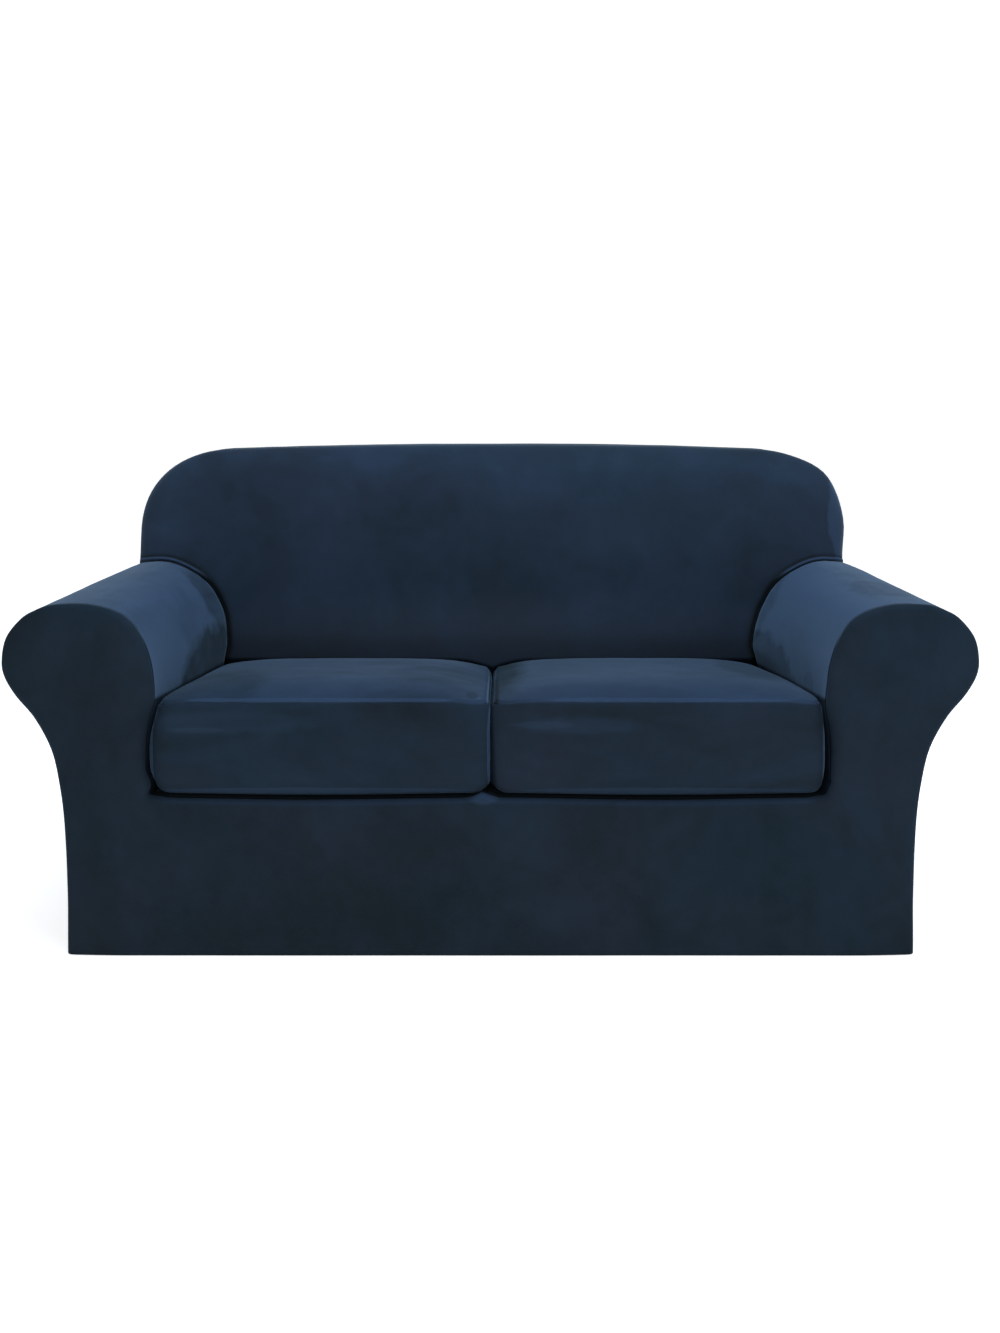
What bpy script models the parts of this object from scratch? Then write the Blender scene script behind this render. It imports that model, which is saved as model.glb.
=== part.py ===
"""Stretch slipcover for a two-seat sofa with rolled arms.

One fitted body cover and two separate seat-cushion covers, as thin hollow
shells in the shape they take when pulled tight.  Lengths are metres.  Plan and
height tables are written with the hem at height 0 and the front face at depth
0; a parent then carries everything so that the origin lies on the underside of
the cloth, at the middle of the top of the back.
"""
import math

import bmesh
import bpy
import numpy as np

# Cloth
CLOTH_THICKNESS = 0.002
SEAM_GAP = 0.0003
VELVET_COLOUR = (0.018, 0.030, 0.052, 1.0)
VELVET_ROUGHNESS = 0.85

# Body of the cover
DEPTH = 0.860
DECK_HEIGHT = 0.264
FRONT_EDGE_RADIUS = 0.013
REAR_EDGE_RADIUS = 0.025
EDGE_STEPS = 4
EDGE_RETURN = 0.006
DECK_CORNER_RADIUS = 0.008
DECK_CORNER_STEPS = 3
HEM_ALLOWANCE = 0.060
WELD_DISTANCE = 1e-5
FRONT_CROWN = 0.004
FRONT_CROWN_REACH = 0.090
FRONT_GRID = 0.085
APRON_SPACING = 0.1184

# Back of the cover
BACK_HALF_WIDTH = 0.789
BACK_SHOULDER_X = 0.589
BACK_SHOULDER_Z = 0.680
BACK_SHOULDER_TOP = 0.852
BACK_TOP_CROWN = 0.010
BACK_SHOULDER_POWER = 2.2
BACK_EDGE_INSET = 0.065
BACK_EDGE_DEPTH = 0.055
BACK_EDGE_STEPS = 5
BACK_SIDE_POINTS = 3
BACK_SHOULDER_POINTS = 9
BACK_TOP_POINTS = 6
BACK_FOOT_DEPTH = 0.572
BACK_RECLINE = 0.30
BACK_RECLINE_START = 0.440
BACK_RECLINE_BLEND = 0.040
BACK_CROWN = 0.010
BACK_CROWN_HALF_WIDTH = 0.750
BACK_CROWN_HEIGHT = 0.560
BACK_CROWN_HALF_HEIGHT = 0.270
BACK_GRID = 0.090
BACK_WALL_STEPS = 2

# Arms
ARM_SECTION_BLEND_END = 0.540
ARM_LENGTH_STEPS = 6
SPAN_STEPS = 2
DENSE_STEPS = 12

# Seat-cushion covers
CUSHION_NEAR_X = 0.0065
CUSHION_FAR_X = 0.5890
CUSHION_FRONT = 0.004
CUSHION_REAR = 0.556
CUSHION_CORNER_RADIUS = 0.030
CUSHION_CORNER_STEPS = 5
CUSHION_SIDE_STEPS = 6
CUSHION_RAKE = 0.21
CUSHION_REAR_NARROWING = 0.050
CUSHION_CORNER_DROOP = 0.008
CUSHION_DROOP_POWER = 5
CUSHION_SEAM_HEIGHT = 0.1690

# Depths of the seams that join the front panel and the outside back to the rest
FRONT_SEAM_DEPTH = FRONT_EDGE_RADIUS + EDGE_RETURN
REAR_SEAM_DEPTH = DEPTH - REAR_EDGE_RADIUS - EDGE_RETURN

# Where the parent is put: under the cloth at the middle of the back's top
ORIGIN_DEPTH = 0.790
ORIGIN_HEIGHT = BACK_SHOULDER_TOP + BACK_TOP_CROWN - CLOTH_THICKNESS

# A point inside the cover for each panel, which its outer face looks away from
BEHIND_FRONT_PANEL = (0.0, 0.30, 0.20)
INSIDE_RIGHT_ARM = (0.70, 0.40, 0.30)
BEHIND_INSIDE_BACK = (0.0, 0.80, 0.45)
BEFORE_OUTSIDE_BACK = (0.0, 0.50, 0.40)
UNDER_DECK = (0.0, 0.30, 0.0)
INSIDE_RIGHT_CUSHION = (0.298, 0.280, 0.344)

# Arm outline at the front: half width, height.  It starts at the hem outside,
# goes over the roll and ends inside, above the seat deck.
ARM_FRONT = {
    "outside": [
        (0.7350, 0.0000), (0.7355, 0.1100), (0.7410, 0.2250), (0.7515, 0.3020),
        (0.7655, 0.3570), (0.7935, 0.4080), (0.8270, 0.4480), (0.8465, 0.4820),
        (0.8500, 0.5120), (0.8420, 0.5490), (0.8150, 0.5820), (0.7890, 0.5965),
    ],
    "inside": [
        (0.7890, 0.5965), (0.7670, 0.6030), (0.7240, 0.6056), (0.6970, 0.6037),
        (0.6620, 0.5950), (0.6350, 0.5810), (0.6150, 0.5590), (0.5990, 0.5250),
        (0.5890, 0.4850), (0.5870, 0.4400), (0.5960, 0.4050), (0.6020, 0.3550),
        (0.6020, 0.2720),
    ],
}

# The same outline where the arm meets the back.
ARM_REAR = {
    "outside": [
        (0.7350, 0.0000), (0.7355, 0.1100), (0.7410, 0.2250), (0.7515, 0.3020),
        (0.7655, 0.3570), (0.7935, 0.4080), (0.8250, 0.4480), (0.8430, 0.4820),
        (0.8460, 0.5120), (0.8370, 0.5500), (0.8130, 0.5845), (0.7890, 0.5990),
    ],
    "inside": [
        (0.7890, 0.5990), (0.7670, 0.6065), (0.7240, 0.6105), (0.7000, 0.6070),
        (0.6700, 0.5960), (0.6370, 0.5780), (0.6130, 0.5570), (0.5930, 0.5280),
        (0.5760, 0.4910), (0.5670, 0.4400), (0.5730, 0.4050), (0.5860, 0.3550),
        (0.6020, 0.2720),
    ],
}

# Boxing of a cushion cover: inset from the plan, height above the deck.  The
# first two rows are the band that turns under.
BOXING_PROFILE = [
    (0.0600, 0.0006), (0.0260, 0.0006), (0.0140, 0.0040), (0.0060, 0.0110),
    (0.0000, 0.0240), (-0.0040, 0.0500), (-0.0050, 0.0850), (-0.0040, 0.1180),
    (-0.0010, 0.1430), (0.0040, 0.1630), (0.0080, CUSHION_SEAM_HEIGHT),
]

# Top panel of a cushion cover: insets of its rings from the plan.
TOP_INSETS = [0.0080, 0.0120, 0.0300, 0.0600, 0.1100, 0.1700, 0.2300]
TOP_EDGE_RISE = 0.0060
TOP_CROWN = 0.0250
TOP_CROWN_POWER = 5
TOP_CORNER_SHARE = 0.20
TOP_CORNER_REACH = 0.060


def smooth_curve(points, steps):
    """Catmull-Rom curve through the points, with a fixed number of steps a span."""
    knots = np.array(points, dtype=float)
    first = 2 * knots[0] - knots[1]
    last = 2 * knots[-1] - knots[-2]
    padded = np.vstack([first, knots, last])
    curve = []
    for span in range(len(knots) - 1):
        before, start, end, after = padded[span:span + 4]
        for step in range(steps):
            t = step / steps
            linear = (end - before) * t
            square = (2 * before - 5 * start + 4 * end - after) * t ** 2
            cube = (3 * start - before - 3 * end + after) * t ** 3
            curve.append(0.5 * (2 * start + linear + square + cube))
    curve.append(knots[-1])
    return np.array(curve)


def quarter_steps(count):
    """Angles from 0 to a right angle."""
    return [0.5 * math.pi * step / count for step in range(count + 1)]


def back_edge_insets():
    """Distance of each ring of the rounded back edge from the outline, outermost first."""
    angles = quarter_steps(BACK_EDGE_STEPS)
    return [BACK_EDGE_INSET * (1 - math.cos(angle)) for angle in angles]


def back_edge_setback(inset):
    """How far the rounded back edge lies behind the face at this inset."""
    reach = min(max(inset / BACK_EDGE_INSET, 0.0), 1.0)
    return BACK_EDGE_DEPTH * (1 - math.sqrt(max(0.0, 1 - (1 - reach) ** 2)))


def back_face_depth(x, z):
    """Depth of the inside face of the back: upright below, reclined and crowned above."""
    rise = max(0.0, z - BACK_RECLINE_START)
    recline = BACK_RECLINE * rise * rise / (rise + BACK_RECLINE_BLEND)
    across = max(0.0, 1 - (x / BACK_CROWN_HALF_WIDTH) ** 2)
    upward = max(0.0, 1 - ((z - BACK_CROWN_HEIGHT) / BACK_CROWN_HALF_HEIGHT) ** 2)
    return BACK_FOOT_DEPTH + recline - BACK_CROWN * across * upward


def arm_section(table):
    """Outline of one arm as three runs: outside, shoulder under the back edge, inside."""
    outside = smooth_curve(table["outside"], SPAN_STEPS)
    dense = smooth_curve(table["inside"], DENSE_STEPS)
    shoulder = []
    for inset in back_edge_insets():
        x = BACK_HALF_WIDTH - inset
        shoulder.append((x, np.interp(-x, -dense[:, 0], dense[:, 1])))
    shoulder = np.array(shoulder)
    inner_knots = [tuple(shoulder[-1])] + table["inside"][3:]
    inside = smooth_curve(inner_knots, SPAN_STEPS)
    corner_x, corner_z = table["inside"][-1]
    corner = []
    for angle in quarter_steps(DECK_CORNER_STEPS)[1:]:
        x = corner_x - DECK_CORNER_RADIUS * (1 - math.cos(angle))
        z = corner_z - DECK_CORNER_RADIUS * math.sin(angle)
        corner.append((x, z))
    inside = np.vstack([inside, corner])
    return outside, shoulder, inside


def back_arch(inset, foot_height):
    """Right half of the back's outline at an inset: side, shoulder and top to the middle."""
    points = []
    side_x = BACK_HALF_WIDTH - inset
    for step in range(BACK_SIDE_POINTS):
        share = step / BACK_SIDE_POINTS
        points.append((side_x, foot_height + share * (BACK_SHOULDER_Z - foot_height)))
    reach_x = side_x - BACK_SHOULDER_X
    reach_z = BACK_SHOULDER_TOP - BACK_SHOULDER_Z - inset
    power = 2 / BACK_SHOULDER_POWER
    for angle in quarter_steps(BACK_SHOULDER_POINTS):
        x = BACK_SHOULDER_X + reach_x * max(0.0, math.cos(angle)) ** power
        z = BACK_SHOULDER_Z + reach_z * math.sin(angle) ** power
        points.append((x, z))
    for step in range(1, BACK_TOP_POINTS + 1):
        x = BACK_SHOULDER_X * (1 - step / BACK_TOP_POINTS)
        rise = BACK_TOP_CROWN * (1 - (x / BACK_SHOULDER_X) ** 2)
        points.append((x, BACK_SHOULDER_TOP - inset + rise))
    return np.array(points)


def mirrored(right_half):
    """A half outline joined with its mirror image; the last point is on the middle line."""
    left_half = right_half[:-1][::-1] * np.array([-1.0, 1.0])
    return np.vstack([right_half, left_half])


def inward_offset(outline, distance):
    """Closed outline moved towards its inside by a distance, with mitred corners."""
    area = 0.0
    for here, there in zip(outline, np.roll(outline, -1, axis=0)):
        area += here[0] * there[1] - there[0] * here[1]
    turn = 1.0 if area > 0 else -1.0
    ahead = np.roll(outline, -1, axis=0) - outline
    ahead = ahead / np.linalg.norm(ahead, axis=1)[:, None]
    behind = np.roll(ahead, 1, axis=0)
    normal_ahead = turn * np.column_stack([-ahead[:, 1], ahead[:, 0]])
    normal_behind = turn * np.column_stack([-behind[:, 1], behind[:, 0]])
    mitre = normal_ahead + normal_behind
    mitre = mitre / np.linalg.norm(mitre, axis=1)[:, None]
    spread = np.sum(mitre * normal_ahead, axis=1)
    return outline + mitre * (distance / spread)[:, None]


def add_loop(bm, points):
    """Closed wire through 3D points; returns its vertices."""
    verts = [bm.verts.new(point) for point in points]
    for here, there in zip(verts, verts[1:] + verts[:1]):
        bm.edges.new((here, there))
    return verts


def add_row(bm, points):
    """Open wire through 3D points; returns its vertices."""
    verts = [bm.verts.new(point) for point in points]
    for here, there in zip(verts, verts[1:]):
        bm.edges.new((here, there))
    return verts


def join_rows(bm, first, second, closed):
    """Four-sided faces between two rows with the same number of vertices."""
    count = len(first)
    last = count if closed else count - 1
    for index in range(last):
        after = (index + 1) % count
        bm.faces.new((first[index], first[after], second[after], second[index]))


def slice_faces(bm, faces, spacing):
    """Cut flat faces into a regular grid with planes across X and Z."""
    region = list(faces)
    for axis in (0, 2):
        values = [vert.co[axis] for face in region for vert in face.verts]
        count = int((max(values) - min(values)) / spacing)
        middle = 0.5 * (max(values) + min(values)) if axis == 2 else 0.0
        for step in range(-count, count + 1):
            position = middle + (step + 0.5) * spacing
            if not min(values) < position < max(values):
                continue
            point = [0.0, 0.0, 0.0]
            point[axis] = position
            normal = [0.0, 0.0, 0.0]
            normal[axis] = 1.0
            geometry = set(region)
            for face in region:
                geometry.update(face.edges)
                geometry.update(face.verts)
            cut = bmesh.ops.bisect_plane(
                bm, geom=list(geometry), dist=WELD_DISTANCE, plane_co=point, plane_no=normal)
            region = [item for item in cut["geom"] if isinstance(item, bmesh.types.BMFace)]
    return region


def face_away_from(bm, inside_point):
    """Make the faces agree and look away from a point inside the cover."""
    bmesh.ops.recalc_face_normals(bm, faces=bm.faces[:])
    total = 0.0
    for face in bm.faces:
        centre = np.array(face.calc_center_median())
        outward = centre - np.array(inside_point)
        total += face.calc_area() * float(np.dot(np.array(face.normal), outward))
    if total < 0:
        bmesh.ops.reverse_faces(bm, faces=bm.faces[:])


def velvet(name):
    """Plain dark velvet for one piece."""
    material = bpy.data.materials.new(name + "_velvet")
    material.use_nodes = True
    shader = material.node_tree.nodes["Principled BSDF"]
    shader.inputs["Base Color"].default_value = VELVET_COLOUR
    shader.inputs["Roughness"].default_value = VELVET_ROUGHNESS
    return material


def finish_node(name, bm, inside_point, parent, collection):
    """Turn a sheet of faces into one cloth solid under the parent."""
    bmesh.ops.remove_doubles(bm, verts=bm.verts[:], dist=WELD_DISTANCE)
    face_away_from(bm, inside_point)
    for face in bm.faces:
        face.smooth = True
    mesh = bpy.data.meshes.new(name)
    bm.to_mesh(mesh)
    bm.free()
    node = bpy.data.objects.new(name, mesh)
    node.data.materials.append(velvet(name))
    collection.objects.link(node)
    node.parent = parent
    shell = node.modifiers.new("cloth", "SOLIDIFY")
    shell.thickness = CLOTH_THICKNESS
    shell.offset = -1.0
    shell.use_even_offset = True
    return node


def tray(outline, face_depth, radius, direction):
    """Sheet with a rounded edge: a face inset by the radius, turned back to the outline.

    The direction is 1 where the cover continues behind the face, -1 where it
    continues in front of it.
    """
    bm = bmesh.new()
    start_depth = face_depth + direction * radius
    seam_depth = start_depth + direction * EDGE_RETURN
    previous = add_loop(bm, [(x, seam_depth, z) for x, z in outline])
    for angle in quarter_steps(EDGE_STEPS):
        inset = radius * (1 - math.cos(angle))
        depth = start_depth - direction * radius * math.sin(angle)
        ring = inward_offset(outline, inset)
        row = add_loop(bm, [(x, depth, z) for x, z in ring])
        join_rows(bm, previous, row, True)
        previous = row
    cap = bm.faces.new(previous)
    return bm, cap


def cut_at_hem(bm):
    """Remove what lies below the hem."""
    geometry = bm.verts[:] + bm.edges[:] + bm.faces[:]
    bmesh.ops.bisect_plane(
        bm, geom=geometry, dist=WELD_DISTANCE, plane_co=(0, 0, 0), plane_no=(0, 0, 1), clear_inner=True)


def distance_to_outline(x, z, outline):
    """Shortest distance from a point to a polyline."""
    point = np.array([x, z])
    start = outline[:-1]
    along = outline[1:] - start
    share = np.sum((point - start) * along, axis=1) / np.sum(along * along, axis=1)
    share = np.clip(share, 0.0, 1.0)
    nearest = start + along * share[:, None]
    return float(np.min(np.linalg.norm(nearest - point, axis=1)))


def build_front_panel(parent, collection):
    """Both arm fronts and the apron, one piece with a softly rounded edge."""
    outside, shoulder, inside = arm_section(ARM_FRONT)
    below = np.array([[outside[0][0], -HEM_ALLOWANCE]])
    apron_reach = inside[-1][0]
    count = int(round(apron_reach / APRON_SPACING))
    apron = [(apron_reach * (1 - step / count), DECK_HEIGHT) for step in range(1, count + 1)]
    right = np.vstack([below, outside, shoulder[1:], inside[1:], apron])
    outline = mirrored(right)
    bm, cap = tray(outline, 0.0, FRONT_EDGE_RADIUS, 1.0)
    region = slice_faces(bm, [cap], FRONT_GRID)
    top_edge = outline[1:-1]
    for vert in {vert for face in region for vert in face.verts}:
        distance = distance_to_outline(vert.co.x, vert.co.z, top_edge) - FRONT_EDGE_RADIUS
        reach = min(max(distance / FRONT_CROWN_REACH, 0.0), 1.0)
        vert.co.y -= FRONT_CROWN * math.sin(0.5 * math.pi * reach)
    cut_at_hem(bm)
    return finish_node("front_panel", bm, BEHIND_FRONT_PANEL, parent, collection)


def build_arm(name, side, parent, collection):
    """Arm wrap: inside of the arm, over the roll and down the outside to the hem."""
    front = arm_section(ARM_FRONT)
    rear = arm_section(ARM_REAR)
    bm = bmesh.new()
    outer_count = len(front[0])
    front_run = np.vstack([front[0], front[1][1:], front[2][1:]])
    rear_run = np.vstack([rear[0], rear[1][1:], rear[2][1:]])
    start_depth = FRONT_SEAM_DEPTH + SEAM_GAP
    split_depth = back_face_depth(BACK_HALF_WIDTH, rear[0][-1][1]) + BACK_EDGE_DEPTH - SEAM_GAP
    end_depths = []
    for index, (x, z) in enumerate(rear_run):
        if index < outer_count:
            end_depths.append(split_depth)
        else:
            setback = back_edge_setback(BACK_HALF_WIDTH - x)
            end_depths.append(back_face_depth(x, z) + setback - SEAM_GAP)
    previous = None
    for step in range(ARM_LENGTH_STEPS + 1):
        share = step / ARM_LENGTH_STEPS
        points = []
        for index in range(len(front_run)):
            depth = start_depth + share * (end_depths[index] - start_depth)
            blend = min(1.0, (depth - start_depth) / (ARM_SECTION_BLEND_END - start_depth))
            x, z = front_run[index] * (1 - blend) + rear_run[index] * blend
            if index == outer_count - 1:
                x += SEAM_GAP
            points.append((side * x, depth, z))
        row = add_row(bm, points)
        if previous:
            join_rows(bm, previous, row, False)
        previous = row
    rear_depth = REAR_SEAM_DEPTH - SEAM_GAP
    previous = previous[:outer_count]
    for depth in (0.5 * (split_depth + rear_depth), rear_depth):
        points = []
        for index in range(outer_count):
            x, z = rear_run[index]
            if index == outer_count - 1:
                x += SEAM_GAP
            points.append((side * x, depth, z))
        row = add_row(bm, points)
        join_rows(bm, previous, row, False)
        previous = row
    across, depth, height = INSIDE_RIGHT_ARM
    return finish_node(name, bm, (side * across, depth, height), parent, collection)


def build_inside_back(parent, collection):
    """Face of the back between the arms, with its rounded top and side walls."""
    shoulder, inside = arm_section(ARM_REAR)[1:]
    insets = back_edge_insets()
    feet = [height + SEAM_GAP for height in shoulder[:, 1]]
    bm = bmesh.new()
    rear_depth = REAR_SEAM_DEPTH - SEAM_GAP
    rows = []
    edge_arch = mirrored(back_arch(0.0, feet[0]))
    for step in range(BACK_WALL_STEPS):
        points = []
        for x, z in edge_arch:
            start = back_face_depth(x, z) + BACK_EDGE_DEPTH
            share = step / BACK_WALL_STEPS
            points.append((x, rear_depth + share * (start - rear_depth), z))
        rows.append(add_row(bm, points))
    for inset, foot in zip(insets, feet):
        arch = mirrored(back_arch(inset, foot))
        setback = back_edge_setback(inset)
        rows.append(add_row(bm, [(x, back_face_depth(x, z) + setback, z) for x, z in arch]))
    for first, second in zip(rows, rows[1:]):
        join_rows(bm, first, second, False)
    lower_right = [(x, z) for x, z in inside[1:]]
    lower = [bm.verts.new((-x, back_face_depth(x, z), z)) for x, z in lower_right]
    lower += [bm.verts.new((x, back_face_depth(x, z), z)) for x, z in lower_right[::-1]]
    cap = bm.faces.new(rows[-1] + lower)
    depths = {vert: vert.co.y for vert in cap.verts}
    for vert in cap.verts:
        vert.co.y = 0.0
    region = slice_faces(bm, [cap], BACK_GRID)
    for vert in {vert for face in region for vert in face.verts}:
        vert.co.y = depths.get(vert, back_face_depth(vert.co.x, vert.co.z))
    return finish_node("inside_back", bm, BEHIND_INSIDE_BACK, parent, collection)


def build_outside_back(parent, collection):
    """Plain rear panel: the back's outline joined with the outer half of both arms."""
    outside, shoulder = arm_section(ARM_REAR)[:2]
    below = np.array([[outside[0][0], -HEM_ALLOWANCE]])
    arch = back_arch(0.0, shoulder[0][1] + SEAM_GAP)
    right = np.vstack([below, outside, arch[1:]])
    outline = mirrored(right)
    bm, cap = tray(outline, DEPTH, REAR_EDGE_RADIUS, -1.0)
    cut_at_hem(bm)
    return finish_node("outside_back", bm, BEFORE_OUTSIDE_BACK, parent, collection)


def build_deck(parent, collection):
    """Flat panel under the seat cushions."""
    inside = arm_section(ARM_FRONT)[2]
    half_width = inside[-1][0] - SEAM_GAP
    front = FRONT_SEAM_DEPTH + SEAM_GAP
    rear = BACK_FOOT_DEPTH - SEAM_GAP
    bm = bmesh.new()
    corners = [(-half_width, front), (half_width, front), (half_width, rear), (-half_width, rear)]
    bm.faces.new([bm.verts.new((x, y, DECK_HEIGHT)) for x, y in corners])
    return finish_node("deck", bm, UNDER_DECK, parent, collection)


def crown_share(distance, half_size):
    """Share of the crown reached at a distance from the edge of the top panel."""
    left = 1 - min(max(distance / half_size, 0.0), 1.0)
    return 1 - left ** TOP_CROWN_POWER


def cushion_ring(side, inset, height):
    """One ring of a cushion cover, inset from the rounded plan.

    Where the height is None the ring lies on the crowned top.
    """
    centre_x = 0.5 * (CUSHION_NEAR_X + CUSHION_FAR_X)
    centre_y = 0.5 * (CUSHION_FRONT + CUSHION_REAR)
    half_x = 0.5 * (CUSHION_FAR_X - CUSHION_NEAR_X)
    half_y = 0.5 * (CUSHION_REAR - CUSHION_FRONT)
    share = TOP_CORNER_SHARE * min(1.0, max(0.0, inset) / TOP_CORNER_REACH)
    radius = max(CUSHION_CORNER_RADIUS - inset, share * (half_y - inset))
    reach_x = half_x - inset - radius
    reach_y = half_y - inset - radius
    ring = []
    for quarter in range(4):
        start = quarter * 0.5 * math.pi
        sign_x = (1, -1, -1, 1)[quarter]
        sign_y = (1, 1, -1, -1)[quarter]
        for angle in quarter_steps(CUSHION_CORNER_STEPS):
            x = sign_x * reach_x + radius * math.cos(start + angle)
            y = sign_y * reach_y + radius * math.sin(start + angle)
            ring.append((x, y))
        end = (ring[-1][0], ring[-1][1])
        after_x = (-1, -1, 1, 1)[quarter] * reach_x
        after_y = (1, -1, -1, 1)[quarter] * reach_y
        shift = radius if quarter in (0, 3) else -radius
        goal = (after_x, after_y + shift) if quarter in (0, 2) else (after_x + shift, after_y)
        for step in range(1, CUSHION_SIDE_STEPS):
            share = step / CUSHION_SIDE_STEPS
            ring.append((end[0] + share * (goal[0] - end[0]), end[1] + share * (goal[1] - end[1])))
    points = []
    for x, y in ring:
        back_share = (y + half_y) / (2 * half_y)
        droop = (min(1.0, abs(x / half_x)) * min(1.0, abs(y / half_y))) ** CUSHION_DROOP_POWER
        level = height
        if level is None:
            level = CUSHION_SEAM_HEIGHT + TOP_EDGE_RISE
            share_x = crown_share(half_x - TOP_INSETS[1] - abs(x), half_x)
            share_y = crown_share(half_y - TOP_INSETS[1] - abs(y), half_y)
            level += TOP_CROWN * share_x * share_y
        level *= 1 - CUSHION_RAKE * back_share
        level -= CUSHION_CORNER_DROOP * droop * min(1.0, level / CUSHION_SEAM_HEIGHT)
        across = centre_x + x
        far_share = max(0.0, x + half_x) / (2 * half_x)
        narrow = 1 - CUSHION_REAR_NARROWING * back_share ** 2 * far_share
        points.append((side * across * narrow, centre_y + y, DECK_HEIGHT + level))
    return points


def build_cushion(name, side, parent, collection):
    """Top panel and boxing of one seat-cushion cover, open underneath."""
    across, depth, height = INSIDE_RIGHT_CUSHION
    inside_point = (side * across, depth, height)
    before = np.array(BOXING_PROFILE[-2])
    seam = np.array(BOXING_PROFILE[-1])
    step_back = (seam - before) / np.linalg.norm(seam - before) * SEAM_GAP
    boxing_rows = BOXING_PROFILE[:-1] + [tuple(seam - step_back)]
    top_rows = [(TOP_INSETS[0], CUSHION_SEAM_HEIGHT)] + [(inset, None) for inset in TOP_INSETS[1:]]
    for part, profile in (("boxing", boxing_rows), ("top", top_rows)):
        bm = bmesh.new()
        previous = None
        for inset, height in profile:
            row = add_loop(bm, cushion_ring(side, inset, height))
            if previous:
                join_rows(bm, previous, row, True)
            previous = row
        if part == "top":
            bm.faces.new(previous)
        finish_node(name + "_" + part, bm, inside_point, parent, collection)


def build():
    """Clear the scene, then make every piece of the cover."""
    for item in list(bpy.data.objects):
        bpy.data.objects.remove(item, do_unlink=True)
    collection = bpy.data.collections.new("sofa_slipcover")
    bpy.context.scene.collection.children.link(collection)
    parent = bpy.data.objects.new("cover_origin", None)
    parent.location = (0.0, -ORIGIN_DEPTH, -ORIGIN_HEIGHT)
    collection.objects.link(parent)
    build_front_panel(parent, collection)
    build_arm("arm_left", -1, parent, collection)
    build_arm("arm_right", 1, parent, collection)
    build_inside_back(parent, collection)
    build_outside_back(parent, collection)
    build_deck(parent, collection)
    build_cushion("cushion_left", -1, parent, collection)
    build_cushion("cushion_right", 1, parent, collection)


build()
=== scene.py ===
# %% [markdown]
# # A stretch-velvet sofa slipcover, pulled tight
#
# The cover is a set of three: one body cover and two seat-cushion covers, all in
# dark navy velvet. It is hollow, because only the cloth is made here. Each sewn
# panel is one sheet, so the model is a set of thin shells that meet at seams.
# The frame gives the place of every panel, and this lesson dresses each one:
# first the view and the light, then the velvet, then the panels from front to back.

# %% Load the frame
import math

import bmesh
import bpy
import numpy as np
from mathutils import Matrix, Vector, noise


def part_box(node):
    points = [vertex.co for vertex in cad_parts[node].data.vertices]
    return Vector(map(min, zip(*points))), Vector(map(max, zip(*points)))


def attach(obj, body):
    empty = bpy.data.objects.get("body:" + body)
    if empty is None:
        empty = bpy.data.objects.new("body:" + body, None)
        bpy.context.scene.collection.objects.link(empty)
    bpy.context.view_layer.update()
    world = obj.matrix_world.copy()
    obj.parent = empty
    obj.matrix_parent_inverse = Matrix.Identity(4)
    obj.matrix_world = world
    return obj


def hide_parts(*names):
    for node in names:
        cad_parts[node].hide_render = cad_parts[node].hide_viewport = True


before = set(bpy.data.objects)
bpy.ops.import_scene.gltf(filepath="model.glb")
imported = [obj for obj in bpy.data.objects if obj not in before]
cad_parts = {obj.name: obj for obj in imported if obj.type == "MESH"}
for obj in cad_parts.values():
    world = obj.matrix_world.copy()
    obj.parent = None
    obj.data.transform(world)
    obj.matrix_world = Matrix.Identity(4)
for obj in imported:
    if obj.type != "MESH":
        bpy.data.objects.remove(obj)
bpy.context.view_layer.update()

# %% [markdown]
# ## Where things are
#
# It is easier to measure a seat from the floor up and from the front back, so
# the panels are shaped with the hem at height 0 and the front face at depth 0.
# One matrix then moves each finished panel to its place in the frame.

# %% The hem and the front face
FRONT_EDGE_RADIUS = 0.013
EDGE_RETURN = 0.006
FRONT_SEAM = FRONT_EDGE_RADIUS + EDGE_RETURN
HEM_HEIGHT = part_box("outside_back")[0][2]
FRONT_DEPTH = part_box("front_panel")[1][1] - FRONT_SEAM
PLACE = Matrix.Translation((0.0, FRONT_DEPTH, HEM_HEIGHT))
print("hem at", round(HEM_HEIGHT, 4), "front face at", round(FRONT_DEPTH, 4))

# %% [markdown]
# ## The view
#
# The camera stands in front of the cover, a little under a metre up, and looks
# straight ahead, so the sides of the cover stay upright in the picture. The lens
# is shifted down to bring the whole cover into view, as is done for pictures of
# buildings, which keeps the upright lines parallel. The picture is 1333 pixels
# high, and the horizon and the focal length are given in those pixels.

# %% Camera
FRAME_HEIGHT = 1333
HORIZON_ROW = 407
FOCAL_PIXELS = 1328.5
CAMERA_HEIGHT = 0.948
CAMERA_DISTANCE = 2.30
CAMERA_ASIDE = 0.0165
SENSOR_HEIGHT = 36.0

camera_data = bpy.data.cameras.new("front_camera")
camera_data.sensor_fit = "VERTICAL"
camera_data.sensor_height = SENSOR_HEIGHT
camera_data.lens = SENSOR_HEIGHT * FOCAL_PIXELS / FRAME_HEIGHT
camera_data.shift_y = -(FRAME_HEIGHT / 2 - HORIZON_ROW) / FRAME_HEIGHT
camera = bpy.data.objects.new("front_camera", camera_data)
camera.location = PLACE @ Vector((CAMERA_ASIDE, -CAMERA_DISTANCE, CAMERA_HEIGHT))
camera.rotation_euler = (math.radians(90), 0, 0)
bpy.context.scene.collection.objects.link(camera)
bpy.context.scene.camera = camera
print("lens", round(camera_data.lens, 2), "mm, shift", round(camera_data.shift_y, 4))

# %% [markdown]
# ## The studio
#
# The cover stands in a bright white studio. A white floor runs to the horizon and
# the sky behind it is white too. Higher up the sky is grey, so the upright faces
# stay dark, and a large soft bluish light overhead makes the arm tops and the
# cushions paler than they are. Velvet shows this difference more than most cloth.

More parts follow.
